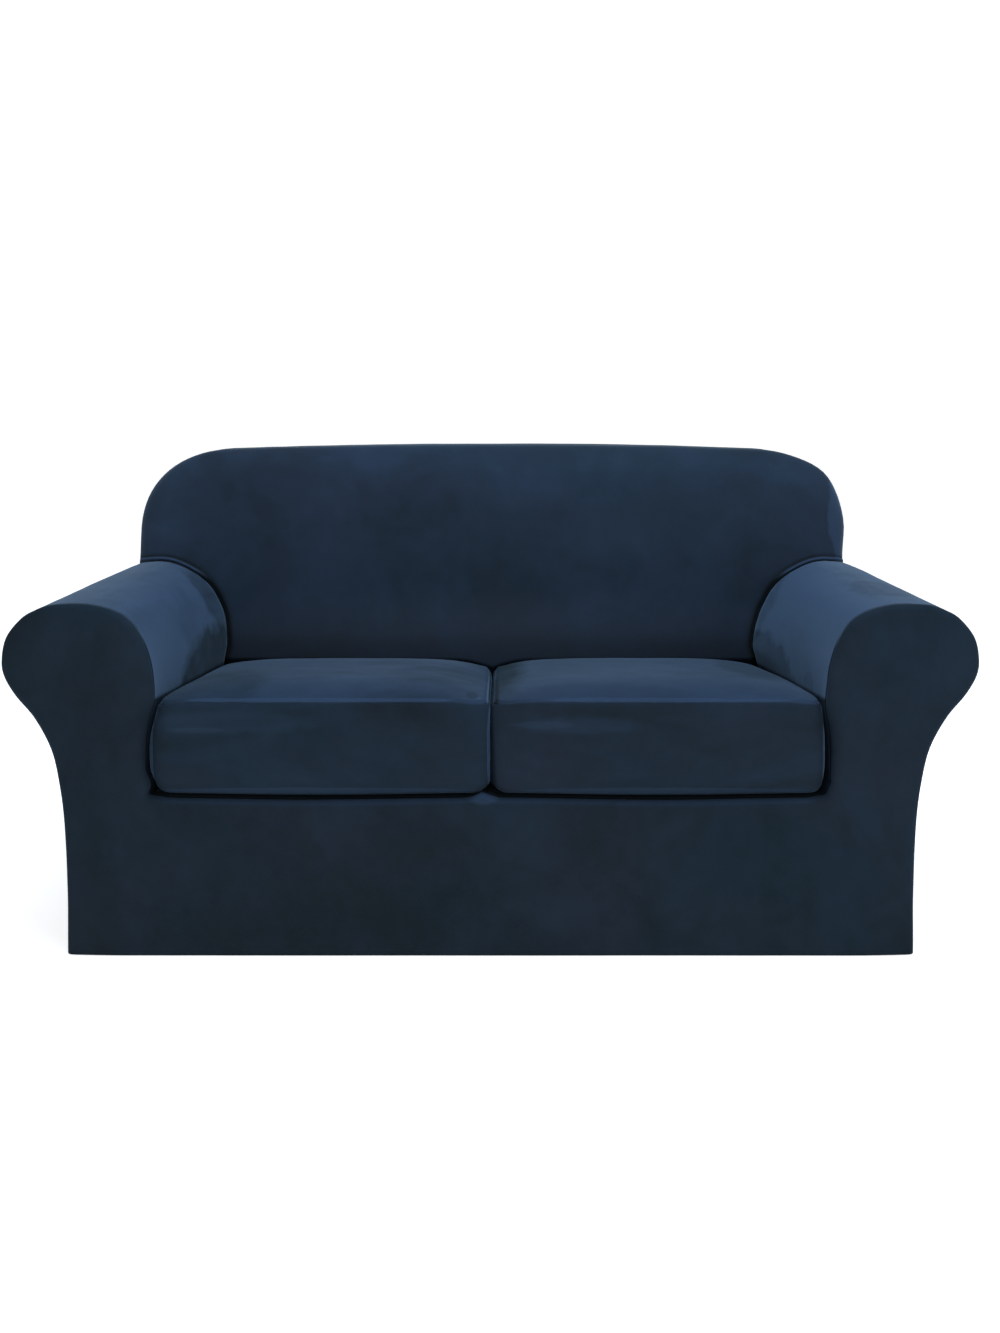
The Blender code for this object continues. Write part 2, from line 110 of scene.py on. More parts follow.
# %% Floor, sky and lights
FLOOR_GAP = 0.002
FLOOR_SIZE = 60.0
FLOOR_WHITE = (0.95, 0.95, 0.95, 1.0)
FLOOR_GLOW = 0.72
SKY_WHITE = (1.0, 1.0, 1.0, 1.0)
SKY_GREY = (0.10, 0.10, 0.10, 1.0)
SKY_FADE = (0.42, 0.60)
SKY_BRIGHTNESS = 1.02
TOP_LIGHT_POWER = 120.0
TOP_LIGHT_SIZE = 2.6
TOP_LIGHT_COLOUR = (0.62, 0.80, 1.0)
TOP_LIGHT_PLACE = (0.35, 0.1, 3.2)
TOP_LIGHT_TARGET = (0.0, 0.4, 0.4)
FRONT_LIGHT_POWER = 14.0
FRONT_LIGHT_SIZE = 2.0
FRONT_LIGHT_PLACE = (2.6, -3.0, 1.6)
FRONT_LIGHT_TARGET = (0.0, 0.3, 0.4)

floor_mesh = bmesh.new()
bmesh.ops.create_grid(floor_mesh, x_segments=1, y_segments=1, size=FLOOR_SIZE / 2)
bmesh.ops.translate(floor_mesh, vec=PLACE @ Vector((0, 0, -FLOOR_GAP)), verts=floor_mesh.verts)
floor = bpy.data.objects.new("studio_floor", bpy.data.meshes.new("studio_floor"))
floor_mesh.to_mesh(floor.data)
floor_mesh.free()
bpy.context.scene.collection.objects.link(floor)
white = bpy.data.materials.new("studio_white")
white.use_nodes = True
white_shader = white.node_tree.nodes["Principled BSDF"]
white_shader.inputs["Base Color"].default_value = FLOOR_WHITE
white_shader.inputs["Roughness"].default_value = 1.0
white_shader.inputs["Specular IOR Level"].default_value = 0.0
white_shader.inputs["Emission Color"].default_value = SKY_WHITE
white_shader.inputs["Emission Strength"].default_value = FLOOR_GLOW
floor.data.materials.append(white)

sky = bpy.data.worlds.new("studio_sky")
sky.use_nodes = True
direction = sky.node_tree.nodes.new("ShaderNodeTexCoord")
height = sky.node_tree.nodes.new("ShaderNodeSeparateXYZ")
ramp = sky.node_tree.nodes.new("ShaderNodeValToRGB")
for stop, position, colour in zip(ramp.color_ramp.elements, SKY_FADE, (SKY_WHITE, SKY_GREY)):
    stop.position = position
    stop.color = colour
sky.node_tree.links.new(direction.outputs["Generated"], height.inputs[0])
sky.node_tree.links.new(height.outputs["Z"], ramp.inputs[0])
sky.node_tree.links.new(ramp.outputs[0], sky.node_tree.nodes["Background"].inputs["Color"])
sky.node_tree.nodes["Background"].inputs["Strength"].default_value = SKY_BRIGHTNESS
bpy.context.scene.world = sky
bpy.context.scene.view_settings.view_transform = "Standard"


def soft_light(name, power, size, place, target, colour=(1, 1, 1)):
    """A square area light that looks at a point of the cover."""
    light = bpy.data.lights.new(name, "AREA")
    light.energy = power
    light.size = size
    light.color = colour
    item = bpy.data.objects.new(name, light)
    item.location = PLACE @ Vector(place)
    aim = PLACE @ Vector(target) - item.location
    item.rotation_euler = aim.to_track_quat("-Z", "Y").to_euler()
    bpy.context.scene.collection.objects.link(item)


soft_light("overhead_softbox", TOP_LIGHT_POWER, TOP_LIGHT_SIZE,
           TOP_LIGHT_PLACE, TOP_LIGHT_TARGET, TOP_LIGHT_COLOUR)
soft_light("front_softbox", FRONT_LIGHT_POWER, FRONT_LIGHT_SIZE,
           FRONT_LIGHT_PLACE, FRONT_LIGHT_TARGET)

# %% [markdown]
# ## The velvet
#
# Velvet is a short dense pile. Seen face on it is dark, because light goes in
# between the fibres. Seen at a low angle it turns pale and bluish, because the
# fibre tips catch the light: that is what the sheen of the shader does. A fine
# bump stands for the fibres themselves. The maths of the pattern is written as
# plain Python sums, so a small class turns each operator into a Math node.

# %% A value that varies over the cloth
class Field:
    """A number on the surface, carried by a node's output socket."""

    def __init__(self, tree, socket):
        self.tree = tree
        self.socket = socket

    def join(self, operation, first, second):
        node = self.tree.nodes.new("ShaderNodeMath")
        node.operation = operation
        for slot, value in enumerate((first, second)):
            if isinstance(value, Field):
                self.tree.links.new(value.socket, node.inputs[slot])
            elif value is not None:
                node.inputs[slot].default_value = value
        return Field(self.tree, node.outputs[0])

    def __add__(self, other):
        return self.join("ADD", self, other)

    def __radd__(self, other):
        return self.join("ADD", other, self)

    def __sub__(self, other):
        return self.join("SUBTRACT", self, other)

    def __rsub__(self, other):
        return self.join("SUBTRACT", other, self)

    def __mul__(self, other):
        return self.join("MULTIPLY", self, other)

    def __rmul__(self, other):
        return self.join("MULTIPLY", other, self)

    def __truediv__(self, other):
        return self.join("DIVIDE", self, other)

    def clamp(self):
        return self.join("MINIMUM", self.join("MAXIMUM", self, 0.0), 1.0)

    def absolute(self):
        return self.join("ABSOLUTE", self, None)


class Cloth:
    """A node material that is built up by adding nodes."""

    def __init__(self, name):
        self.material = bpy.data.materials.new(name)
        self.material.use_nodes = True
        self.tree = self.material.node_tree
        self.tree.nodes.remove(self.tree.nodes["Principled BSDF"])
        self.output = self.tree.nodes["Material Output"]

    def node(self, kind, settings=None, inputs=None, output=0):
        """Add a node; settings first, then its inputs; returns one output as a Field."""
        made = self.tree.nodes.new(kind)
        for key, value in (settings or {}).items():
            setattr(made, key, value)
        for key, value in (inputs or {}).items():
            if isinstance(value, Field):
                self.tree.links.new(value.socket, made.inputs[key])
            else:
                made.inputs[key].default_value = value
        return Field(self.tree, made.outputs[output])

# %% [markdown]
# Brushed velvet has two looks. Where the pile stands up it is nearly black, a
# little teal in one place and a little warmer in another. Where brushing has laid
# it flat it is a paler blue. So there are two shaders, and one number, the tone,
# blends them. Large patches, a finer mottling, long swipes and the grain of the
# pile all add to the tone. A mark is a place with a known centre and size and a
# ragged edge: some are brushed places, others painted highlights or painted
# shade. On narrow lines, such as a fold, every vertex stores its painted
# highlight or painted shade. Dull places have greyer cloth. Last comes the
# crease: a nearly black shader where the cloth turns into a gap, because little
# light gets in between two panels that touch.

# %% Velvet material
RAISED_PILE = (0.0064, 0.0122, 0.0160, 1.0)
RAISED_PILE_TEAL = (0.0070, 0.0136, 0.0156, 1.0)
RAISED_PILE_WARM = (0.0092, 0.0122, 0.0162, 1.0)
RAISED_PILE_DULL = (0.0190, 0.0215, 0.0215, 1.0)
LAID_PILE = (0.0320, 0.0560, 0.1050, 1.0)
SHEEN_TINT = (0.52, 0.76, 1.0, 1.0)
RAISED_SHEEN = 0.10
LAID_SHEEN = 0.26
SHEEN_ROUGHNESS = 0.32
PILE_ROUGHNESS = 0.90
PILE_SPECULAR = 0.04
CREASE_DARK = (0.0020, 0.0032, 0.0056, 1.0)
PAINTED_LIGHT_ATTRIBUTE = "painted_light_and_shade"
PATCH_SCALE = 6.0
PATCH_SHARE = 1.1
SWIPE_SCALE = 3.4
SWIPE_LEVEL = 0.52
SWIPE_CRISP = 14.0
SWIPE_SHARE = 0.10
MOTTLE_SCALE = 30.0
MOTTLE_SHARE = 0.30
GRAIN_SCALE = 420.0
GRAIN_SHARE = 0.22
LAID_GRAIN_SHARE = 0.6
HUE_SCALE = 2.6
HUE_CONTRAST = 3.0
TUFT_SCALE = 1100.0
TUFT_STRENGTH = 0.5
TUFT_HEIGHT = 0.00035
MARK_RAGGED = 0.60
MARK_SCALE = 22.0
MARK_CRISP = 7.0
SOFT = 1.2
print("large patches about", round(100 / PATCH_SCALE), "cm, fine mottling about",
      round(100 / MOTTLE_SCALE), "cm across")

# %% Noise, brushed places and soft masks
def noise_field(cloth, place, scale, detail, distortion=0.0, roughness=0.55):
    """Noise on the cloth, about 0.5 on average."""
    return cloth.node("ShaderNodeTexNoise", None, {
        "Vector": place, "Scale": scale, "Detail": detail,
        "Distortion": distortion, "Roughness": roughness})


def soft_place_mask(cloth, place, centre, radii, crisp=MARK_CRISP):
    """Mask that is 1 in the middle of a place, brushed or of painted light or shade, and fades out
    past its radii.
    """
    shifted = cloth.node("ShaderNodeVectorMath", {"operation": "SUBTRACT"},
                         {0: place, 1: centre})
    scaled = cloth.node("ShaderNodeVectorMath", {"operation": "DIVIDE"}, {0: shifted, 1: radii})
    reach = cloth.node("ShaderNodeVectorMath", {"operation": "LENGTH"}, {0: scaled}, "Value")
    ragged = noise_field(cloth, place, MARK_SCALE, 4.0)
    return ((1.0 - reach + (ragged - 0.5) * MARK_RAGGED) * crisp + 0.5).clamp()


def pile_shader(cloth, colour, sheen, bump):
    """The pile brushed one way: its colour and how much light its fibre tips catch."""
    return cloth.node("ShaderNodeBsdfPrincipled", None, {
        "Base Color": colour, "Normal": bump, "Roughness": PILE_ROUGHNESS,
        "Specular IOR Level": PILE_SPECULAR, "Sheen Weight": sheen,
        "Sheen Roughness": SHEEN_ROUGHNESS, "Sheen Tint": SHEEN_TINT})


def rising(value, start, width):
    """Mask that is 0 up to a start and grows to 1 over a width."""
    return ((value - start) / width).clamp()


def falling(value, end, width):
    """Mask that falls from 1 to 0 over a width, and is 0 from the end on."""
    return ((end - value) / width).clamp()


def below(value, edge, softness):
    """Mask that is 1 below a soft edge."""
    return ((edge - value) / softness + 0.5).clamp()


def blended(cloth, share, first, second):
    """Two shaders mixed by a share of the second."""
    return cloth.node("ShaderNodeMixShader", None, {0: share, 1: first, 2: second})

# %% The velvet of one panel
def velvet(name, seed, lift=0.42, stretch=(1.0, 1.0, 1.0), contrast=1.0, marks_and_painted_light=(), warmth=0.0,
           dull_places=(), crease=None, shade=RAISED_PILE):
    """Navy velvet for one panel.

    lift is the usual share of laid pile, contrast how much it varies, stretch the
    shape of the patches, and shade the colour of raised pile that is not warm.
    """
    cloth = Cloth(name)
    world = cloth.node("ShaderNodeTexCoord", output="Object")
    place = cloth.node("ShaderNodeVectorMath", {"operation": "SUBTRACT"},
                       {0: world, 1: tuple(PLACE.translation)})
    moved = cloth.node("ShaderNodeVectorMath", {"operation": "ADD"},
                       {0: place, 1: (seed * 1.7, seed * 0.9, seed * 2.3)})
    drawn = cloth.node("ShaderNodeVectorMath", {"operation": "MULTIPLY"}, {0: moved, 1: stretch})
    patches = noise_field(cloth, drawn, PATCH_SCALE, 6.0, 0.5, 0.60)
    swipes = noise_field(cloth, drawn, SWIPE_SCALE, 3.0, 1.2) - SWIPE_LEVEL
    swipes = (swipes * SWIPE_CRISP).clamp()
    mottle = noise_field(cloth, moved, MOTTLE_SCALE, 2.0)
    grain = noise_field(cloth, moved, GRAIN_SCALE, 2.0)
    tone = lift + (patches - 0.5) * (PATCH_SHARE * contrast)
    tone = tone + (swipes - 0.5) * (SWIPE_SHARE * contrast)
    tone = tone + (mottle - 0.5) * (MOTTLE_SHARE * contrast) + (grain - 0.5) * GRAIN_SHARE
    # painted highlights and painted shade stored on the vertices
    tone = tone + cloth.node("ShaderNodeAttribute", {"attribute_name": PAINTED_LIGHT_ATTRIBUTE}, output="Fac")
    # marks: brushed places, and places of painted highlight or painted shade
    for centre, radii, amount, *crisp in marks_and_painted_light:
        tone = tone + soft_place_mask(cloth, place, centre, radii, *crisp) * amount
    hue = noise_field(cloth, moved, HUE_SCALE, 2.0, 0.5) - 0.5
    hue = (hue * HUE_CONTRAST + (0.5 + warmth)).clamp()
    raised = cloth.node("ShaderNodeMix", {"data_type": "RGBA"},
                        {0: hue, 6: shade, 7: RAISED_PILE_WARM}, 2)
    for centre, radii in dull_places:
        raised = cloth.node("ShaderNodeMix", {"data_type": "RGBA"},
                            {0: soft_place_mask(cloth, place, centre, radii, SOFT),
                             6: raised, 7: RAISED_PILE_DULL}, 2)
    laid = cloth.node("ShaderNodeMix", {"data_type": "RGBA"},
                      {0: (grain * LAID_GRAIN_SHARE).clamp(), 6: LAID_PILE, 7: RAISED_PILE}, 2)
    tufts = noise_field(cloth, moved, TUFT_SCALE, 2.0)
    bump = cloth.node("ShaderNodeBump", None,
                      {"Height": tufts, "Strength": TUFT_STRENGTH, "Distance": TUFT_HEIGHT})
    surface = blended(cloth, tone.clamp(), pile_shader(cloth, raised, RAISED_SHEEN, bump),
                      pile_shader(cloth, laid, LAID_SHEEN, bump))
    if crease:
        parts = [cloth.node("ShaderNodeSeparateXYZ", None, {0: place}, axis) for axis in range(3)]
        hidden = crease(*parts).clamp()
        surface = blended(cloth, hidden, surface, pile_shader(cloth, CREASE_DARK, 0.0, bump))
    cloth.tree.links.new(surface.socket, cloth.output.inputs["Surface"])
    return cloth.material

# %% [markdown]
# ## Shapes shared by the panels
#
# Panels meet along a few lines: the outline of an arm at the front, the same
# outline where the arm meets the back, and the outline of the back. Each line
# is a smooth curve through a short table of points, so two panels that share a
# line always fit each other.

# %% Arm outlines: half width and height, from the hem outside to the seat inside
ARM_FRONT = {
    "outside": [
        (0.7350, 0.0000), (0.7355, 0.1100), (0.7410, 0.2250), (0.7515, 0.3020),
        (0.7655, 0.3570), (0.7935, 0.4080), (0.8270, 0.4480), (0.8465, 0.4820),
        (0.8500, 0.5120), (0.8420, 0.5490), (0.8150, 0.5820), (0.7890, 0.5965),
    ],
    "inside": [
        (0.7890, 0.5965), (0.7670, 0.6030), (0.7240, 0.6056), (0.6970, 0.6037),
        (0.6620, 0.5950), (0.6350, 0.5810), (0.6150, 0.5590), (0.5990, 0.5250),
        (0.5890, 0.4850), (0.5870, 0.4400), (0.5960, 0.4050), (0.6020, 0.3550),
        (0.6020, 0.2720),
    ],
}
ARM_REAR = {
    "outside": [
        (0.7350, 0.0000), (0.7355, 0.1100), (0.7410, 0.2250), (0.7515, 0.3020),
        (0.7655, 0.3570), (0.7935, 0.4080), (0.8250, 0.4480), (0.8430, 0.4820),
        (0.8460, 0.5120), (0.8370, 0.5500), (0.8130, 0.5845), (0.7890, 0.5990),
    ],
    "inside": [
        (0.7890, 0.5990), (0.7670, 0.6065), (0.7240, 0.6105), (0.7000, 0.6070),
        (0.6700, 0.5960), (0.6370, 0.5780), (0.6130, 0.5570), (0.5930, 0.5280),
        (0.5760, 0.4910), (0.5670, 0.4400), (0.5730, 0.4050), (0.5860, 0.3550),
        (0.6020, 0.2720),
    ],
}
CURVE_STEPS = 6
DENSE_STEPS = 16
DECK_HEIGHT = 0.264
DECK_CORNER_RADIUS = 0.008
DECK_CORNER_STEPS = 6
BACK_HALF_WIDTH = 0.789
BACK_EDGE_INSET = 0.065
BACK_EDGE_DEPTH = 0.055
BACK_EDGE_STEPS = 12

# %% Smooth curves through the points
def smooth_curve(points, steps):
    """Catmull-Rom curve through the points, with a fixed number of steps a span."""
    knots = np.array(points, dtype=float)
    padded = np.vstack([2 * knots[0] - knots[1], knots, 2 * knots[-1] - knots[-2]])
    curve = []
    for span in range(len(knots) - 1):
        before, start, end, after = padded[span:span + 4]
        for step in range(steps):
            t = step / steps
            linear = (end - before) * t
            square = (2 * before - 5 * start + 4 * end - after) * t ** 2
            cube = (3 * start - before - 3 * end + after) * t ** 3
            curve.append(0.5 * (2 * start + linear + square + cube))
    curve.append(knots[-1])
    return np.array(curve)


def quarter_steps(count):
    """Angles from 0 to a right angle."""
    return [0.5 * math.pi * step / count for step in range(count + 1)]


def back_edge_insets():
    """Distance of each ring of the back's rounded edge from the outline."""
    return [BACK_EDGE_INSET * (1 - math.cos(angle)) for angle in quarter_steps(BACK_EDGE_STEPS)]


def arm_section(table):
    """Outline of one arm: outside, shoulder under the back's edge, inside."""
    outside = smooth_curve(table["outside"], CURVE_STEPS)
    dense = smooth_curve(table["inside"], DENSE_STEPS)
    shoulder = []
    for inset in back_edge_insets():
        x = BACK_HALF_WIDTH - inset
        shoulder.append((x, np.interp(-x, -dense[:, 0], dense[:, 1])))
    shoulder = np.array(shoulder)
    inside = smooth_curve([tuple(shoulder[-1])] + table["inside"][3:], CURVE_STEPS)
    corner_x, corner_z = table["inside"][-1]
    corner = []
    for angle in quarter_steps(DECK_CORNER_STEPS)[1:]:
        corner.append((corner_x - DECK_CORNER_RADIUS * (1 - math.cos(angle)),
                       corner_z - DECK_CORNER_RADIUS * math.sin(angle)))
    return outside, shoulder, np.vstack([inside, corner])


front_section = arm_section(ARM_FRONT)
rear_section = arm_section(ARM_REAR)
print("points on an arm outline:", sum(len(part) for part in front_section))

# %% [markdown]
# ## Working with rows
#
# Nearly every panel starts as one wire of vertices, which is extruded again and
# again. `extrude_row` extrudes a wire once and moves each new vertex to a given
# place, and keeps the order, so the next call can carry on. A flat area is one
# face from `fill_loop` that `slice_faces` cuts into a grid, so that it can be
# crowned later.

# %% Row tools
SEAM_GAP = 0.0003
CLOTH_THICKNESS = 0.0019
print("cloth", CLOTH_THICKNESS * 1000, "mm thick, seams", SEAM_GAP * 1000, "mm open")


def new_verts(made):
    """The vertices among what an operator has made."""
    return {item for item in made if isinstance(item, bmesh.types.BMVert)}


def neighbour_in(vert, group):
    """The vertex next to this one that belongs to a group."""
    return next(e.other_vert(vert) for e in vert.link_edges if e.other_vert(vert) in group)


def start_row(bm, points, closed=False):
    """A wire through 3D points; returns its vertices in order."""
    row = [bm.verts.new(point) for point in points]
    for here, there in zip(row, row[1:] + (row[:1] if closed else [])):
        bm.edges.new((here, there))
    return row


def extrude_row(bm, row, points, closed=False):
    """Extrude a wire and put its copy at the given points."""
    pairs = list(zip(row, row[1:] + (row[:1] if closed else [])))
    edges = [bm.edges.get(pair) for pair in pairs]
    fresh = new_verts(bmesh.ops.extrude_edge_only(bm, edges=edges)["geom"])
    copy = []
    for vert, point in zip(row, points):
        twin = neighbour_in(vert, fresh)
        twin.co = point
        copy.append(twin)
    return copy


def next_row(bm, row, points, closed=False):
    """Extrude a wire to new points, or start it where there is none yet."""
    if row is None:
        return start_row(bm, points, closed)
    return extrude_row(bm, row, points, closed)


def fill_loop(bm, loop):
    """Close a loop of vertices with one face; returns it in a list."""
    edges = [bm.edges.get(pair) for pair in zip(loop, loop[1:] + loop[:1])]
    return bmesh.ops.contextual_create(bm, geom=edges)["faces"]

# %% Slices and outlines
def slice_faces(bm, faces, x_cuts, z_cuts):
    """Cut flat upright faces along planes of constant x and constant z."""
    region = list(faces)
    for axis, cuts in ((0, x_cuts), (2, z_cuts)):
        for cut in cuts:
            point = [0.0, 0.0, 0.0]
            normal = [0.0, 0.0, 0.0]
            point[axis] = cut
            normal[axis] = 1.0
            geometry = set(region)
            for face in region:
                geometry.update(face.edges)
                geometry.update(face.verts)
            result = bmesh.ops.bisect_plane(
                bm, geom=list(geometry), dist=2e-5, plane_co=point, plane_no=normal)
            region = [item for item in result["geom"] if isinstance(item, bmesh.types.BMFace)]
    return region


def even_cuts(low, high, spacing):
    """Regular cuts between two ends, none at the ends themselves."""
    count = max(1, int(round((high - low) / spacing)))
    return [low + (high - low) * step / count for step in range(1, count)]


def mirrored(right_half):
    """A half outline joined with its mirror image; its last point is on the middle line."""
    return np.vstack([right_half, right_half[:-1][::-1] * np.array([-1.0, 1.0])])


def inward_offset(outline, distance):
    """Closed outline moved inwards by a distance, with mitred corners."""
    ahead = np.roll(outline, -1, axis=0) - outline
    area = float(np.sum(outline[:, 0] * np.roll(outline[:, 1], -1)
                        - np.roll(outline[:, 0], -1) * outline[:, 1]))
    turn = 1.0 if area > 0 else -1.0
    ahead = ahead / np.linalg.norm(ahead, axis=1)[:, None]
    behind = np.roll(ahead, 1, axis=0)
    normal_ahead = turn * np.column_stack([-ahead[:, 1], ahead[:, 0]])
    normal_behind = turn * np.column_stack([-behind[:, 1], behind[:, 0]])
    mitre = normal_ahead + normal_behind
    mitre = mitre / np.linalg.norm(mitre, axis=1)[:, None]
    spread = np.sum(mitre * normal_ahead, axis=1)
    return outline + mitre * (distance / spread)[:, None]

# %% [markdown]
# ## Softness
#
# Tight cloth is never quite flat. After a panel has its main shape, every
# vertex moves a little along its own normal: a slow unevenness from noise, and
# troughs or ridges at named places. A trough is a soft line between two points
# that fades out at both ends. Simulated cloth would drape, and this cloth is
# stretched, so the folds are placed one by one.

# %% Soft moves
def distance_to_line(x, z, line):
    """Distance from a point to a polyline, and how far along the line it is nearest."""
    point = np.array([x, z])
    start = line[:-1]
    along = line[1:] - start
    lengths = np.linalg.norm(along, axis=1)
    share = np.clip(np.sum((point - start) * along, axis=1) / lengths ** 2, 0.0, 1.0)
    gaps = np.linalg.norm(start + along * share[:, None] - point, axis=1)
    nearest = int(np.argmin(gaps))
    travelled = float(np.sum(lengths[:nearest]) + share[nearest] * lengths[nearest])
    return float(gaps[nearest]), travelled


def trough(point, start, end, width, depth):
    """Depth of a soft crease between two points, for one vertex."""
    start = Vector(start)
    along = Vector(end) - start
    share = (point - start).dot(along) / along.length_squared
    if not 0 < share < 1:
        return 0.0
    aside = (point - start - along * share).length
    taper = math.sin(math.pi * share) ** 0.8
    return -depth * taper * math.exp(-(aside / width) ** 2)


def unevenness(point, seed, slow=0.0009, quick=0.00035):
    """A slow and a quicker wave over the cloth."""
    shifted = point + Vector((seed, seed * 2.1, seed * 0.7))
    return slow * noise.noise(shifted * 5.0) + quick * noise.noise(shifted * 17.0)


def ease(value, start, end):
    """Smooth step from 0 at the start to 1 at the end."""
    share = min(max((value - start) / (end - start), 0.0), 1.0)
    return share * share * (3 - 2 * share)


def band(value, rise, fall=None):
    """Smooth step up over the first pair of values and down over the second."""
    share = ease(value, *rise)
    return share * (1 - ease(value, *fall)) if fall else share


def hump(value, centre, width):
    """Bell-shaped share that is 1 at its centre."""
    return math.exp(-((value - centre) / width) ** 2)

# %% [markdown]
# A tight cover is also drawn out of its plain shape by what it covers and by its
# own seams. The seat's edge rises between and beside the cushions, the back is tucked
# in above the arms, both arms sway a little to the left near the back, and the
# right shoulder is squarer. Beside the cushions the corners between arm and apron
# are drawn in, the right arm stands closer to its cushion, and the apron rises to
# a point in the middle. Each pull is a shift that depends on the place alone, so
# panels that meet move together and their seams stay closed. `band` and `hump`
# say where along one direction a pull is felt.

# %% Pulls of the tight cloth
SEAT_LIFT = 0.008
SEAT_PERIOD = 0.594
SEAT_RISE = (0.12, DECK_HEIGHT)
SEAT_FALL = (DECK_HEIGHT + 0.01, DECK_HEIGHT + 0.08)
SEAT_DEPTH = (0.02, 0.14)
SEAT_SIDE = (0.55, 0.594)
SEAT_SIDE_END = (SEAT_PERIOD, SEAT_PERIOD + 0.05)
PEAK_RISE = 0.010
PEAK_PLACE = -0.013
PEAK_WIDTH = 0.014
PEAK_DEPTH = (0.012, 0.045)
TUCK_RIGHT = 0.009
TUCK_LEFT = 0.003
TUCK_SIDE = ((0.74, 0.775), (0.790, 0.83))
TUCK_HEIGHT = ((0.55, 0.59), (0.605, 0.69))
TUCK_DEPTH = (0.60, 0.66)
SHOULDER_PUSH = 0.0055
SHOULDER_REACH = 0.055
SHOULDER_CENTRE = (0.755, 0.800)
SWAY = 0.0055
SWAY_CENTRE = (0.57, 0.43)
SWAY_REACH = 0.06
SWAY_DEPTH = (0.25, 0.50)
PULL_END = (0.605, 0.66)
CORNER_PULL_LEFT = 0.010
CORNER_PULL_RIGHT = 0.017
CORNER_HEIGHT = 0.284
CORNER_REACH = 0.022
CORNER_RISE = (0.15, 0.262)
CORNER_FALL_RIGHT = (0.262, 0.315)
CORNER_SIDE_RIGHT = (0.54, 0.595)
SIDE_PULL_LEFT = 0.0015
SIDE_PULL_RIGHT = 0.0095
SIDE_START = (0.57, 0.595)
SIDE_HEIGHT = ((0.262, 0.30), (0.40, 0.47))

# %% Shifts at a place
def seat_share(z):
    """Share of a lift that the cloth at this height takes; most at the seat's edge."""
    return band(z, SEAT_RISE, SEAT_FALL)


def pull(point):
    """Shift of all cloth at a place: the seat's edge, the tucks, the sway, the shoulder."""
    x = abs(point.x)
    wave = 0.25 + 0.25 * math.cos(2 * math.pi * x / SEAT_PERIOD)
    across = wave * (1 - ease(x, *SEAT_SIDE)) + band(x, SEAT_SIDE, SEAT_SIDE_END)
    lift = SEAT_LIFT * across * seat_share(point.z) * (1 - ease(point.y, *SEAT_DEPTH))
    tuck = TUCK_RIGHT if point.x > 0 else TUCK_LEFT
    tuck *= band(x, *TUCK_SIDE) * band(point.z, *TUCK_HEIGHT)
    tuck *= band(point.y, TUCK_DEPTH)
    gap = math.hypot(point.x - SHOULDER_CENTRE[0], point.z - SHOULDER_CENTRE[1])
    push = SHOULDER_PUSH * hump(gap, 0.0, SHOULDER_REACH)
    sway = SWAY * hump(x, SWAY_CENTRE[0], SWAY_REACH) * hump(point.z, SWAY_CENTRE[1], SWAY_REACH)
    sway *= band(point.y, SWAY_DEPTH)
    return Vector((push - sway - math.copysign(tuck, point.x), 0.0, lift + push))


def seat_pull(point):
    """Shift of the body's cloth beside the cushions: corners, right arm and middle point."""
    x = abs(point.x)
    near = 1 - ease(x, *PULL_END)
    if point.x > 0:
        corner = CORNER_PULL_RIGHT * ease(x, *CORNER_SIDE_RIGHT)
        corner *= 1 - ease(point.z, *CORNER_FALL_RIGHT)
        side = SIDE_PULL_RIGHT * ease(x, *SIDE_START)
    else:
        corner = CORNER_PULL_LEFT * hump(point.z, CORNER_HEIGHT, CORNER_REACH)
        corner *= ease(x, *SIDE_START)
        side = SIDE_PULL_LEFT * ease(x, *SIDE_START)
    corner *= ease(point.z, *CORNER_RISE) * (1 - ease(point.y, *SEAT_DEPTH))
    side *= band(point.z, *SIDE_HEIGHT)
    peak = PEAK_RISE * hump(point.x, PEAK_PLACE, PEAK_WIDTH)
    peak *= seat_share(point.z) * (1 - ease(point.y, *PEAK_DEPTH))
    return Vector((-math.copysign(near * max(corner, side), point.x), 0.0, peak))


def soften(bm, move, body=True):
    """Move every vertex along its normal by what move gives for its place, then pull it."""
    bm.normal_update()
    moves = [(vert, vert.normal * move(vert.co)) for vert in bm.verts]
    for vert, shift in moves:
        vert.co += shift + pull(vert.co) + (seat_pull(vert.co) if body else Vector())


for label, place in (("middle of the seat's edge", (PEAK_PLACE, 0.0, DECK_HEIGHT)),
                     ("right shoulder", (SHOULDER_CENTRE[0], 0.7, SHOULDER_CENTRE[1]))):
    shift = pull(Vector(place)) + seat_pull(Vector(place))
    print(label, "is pulled by", [round(1000 * part, 1) for part in shift], "mm")

# %% [markdown]
# Where a seam can be seen from above, the cloth does not end at it. A sewn panel
# has a seam allowance, a strip that turns down at the seam and runs on under its
# neighbour. `tuck_under` extrudes the edge of a panel twice for it, first down
# and then sideways, so that no light comes through the seam. `finish_panel` then
# moves a sheet to its place, gives it thickness and puts it on the frame.

# %% Seam allowance
SEAM_DROP = 0.0042
SEAM_ALLOWANCE = 0.0070


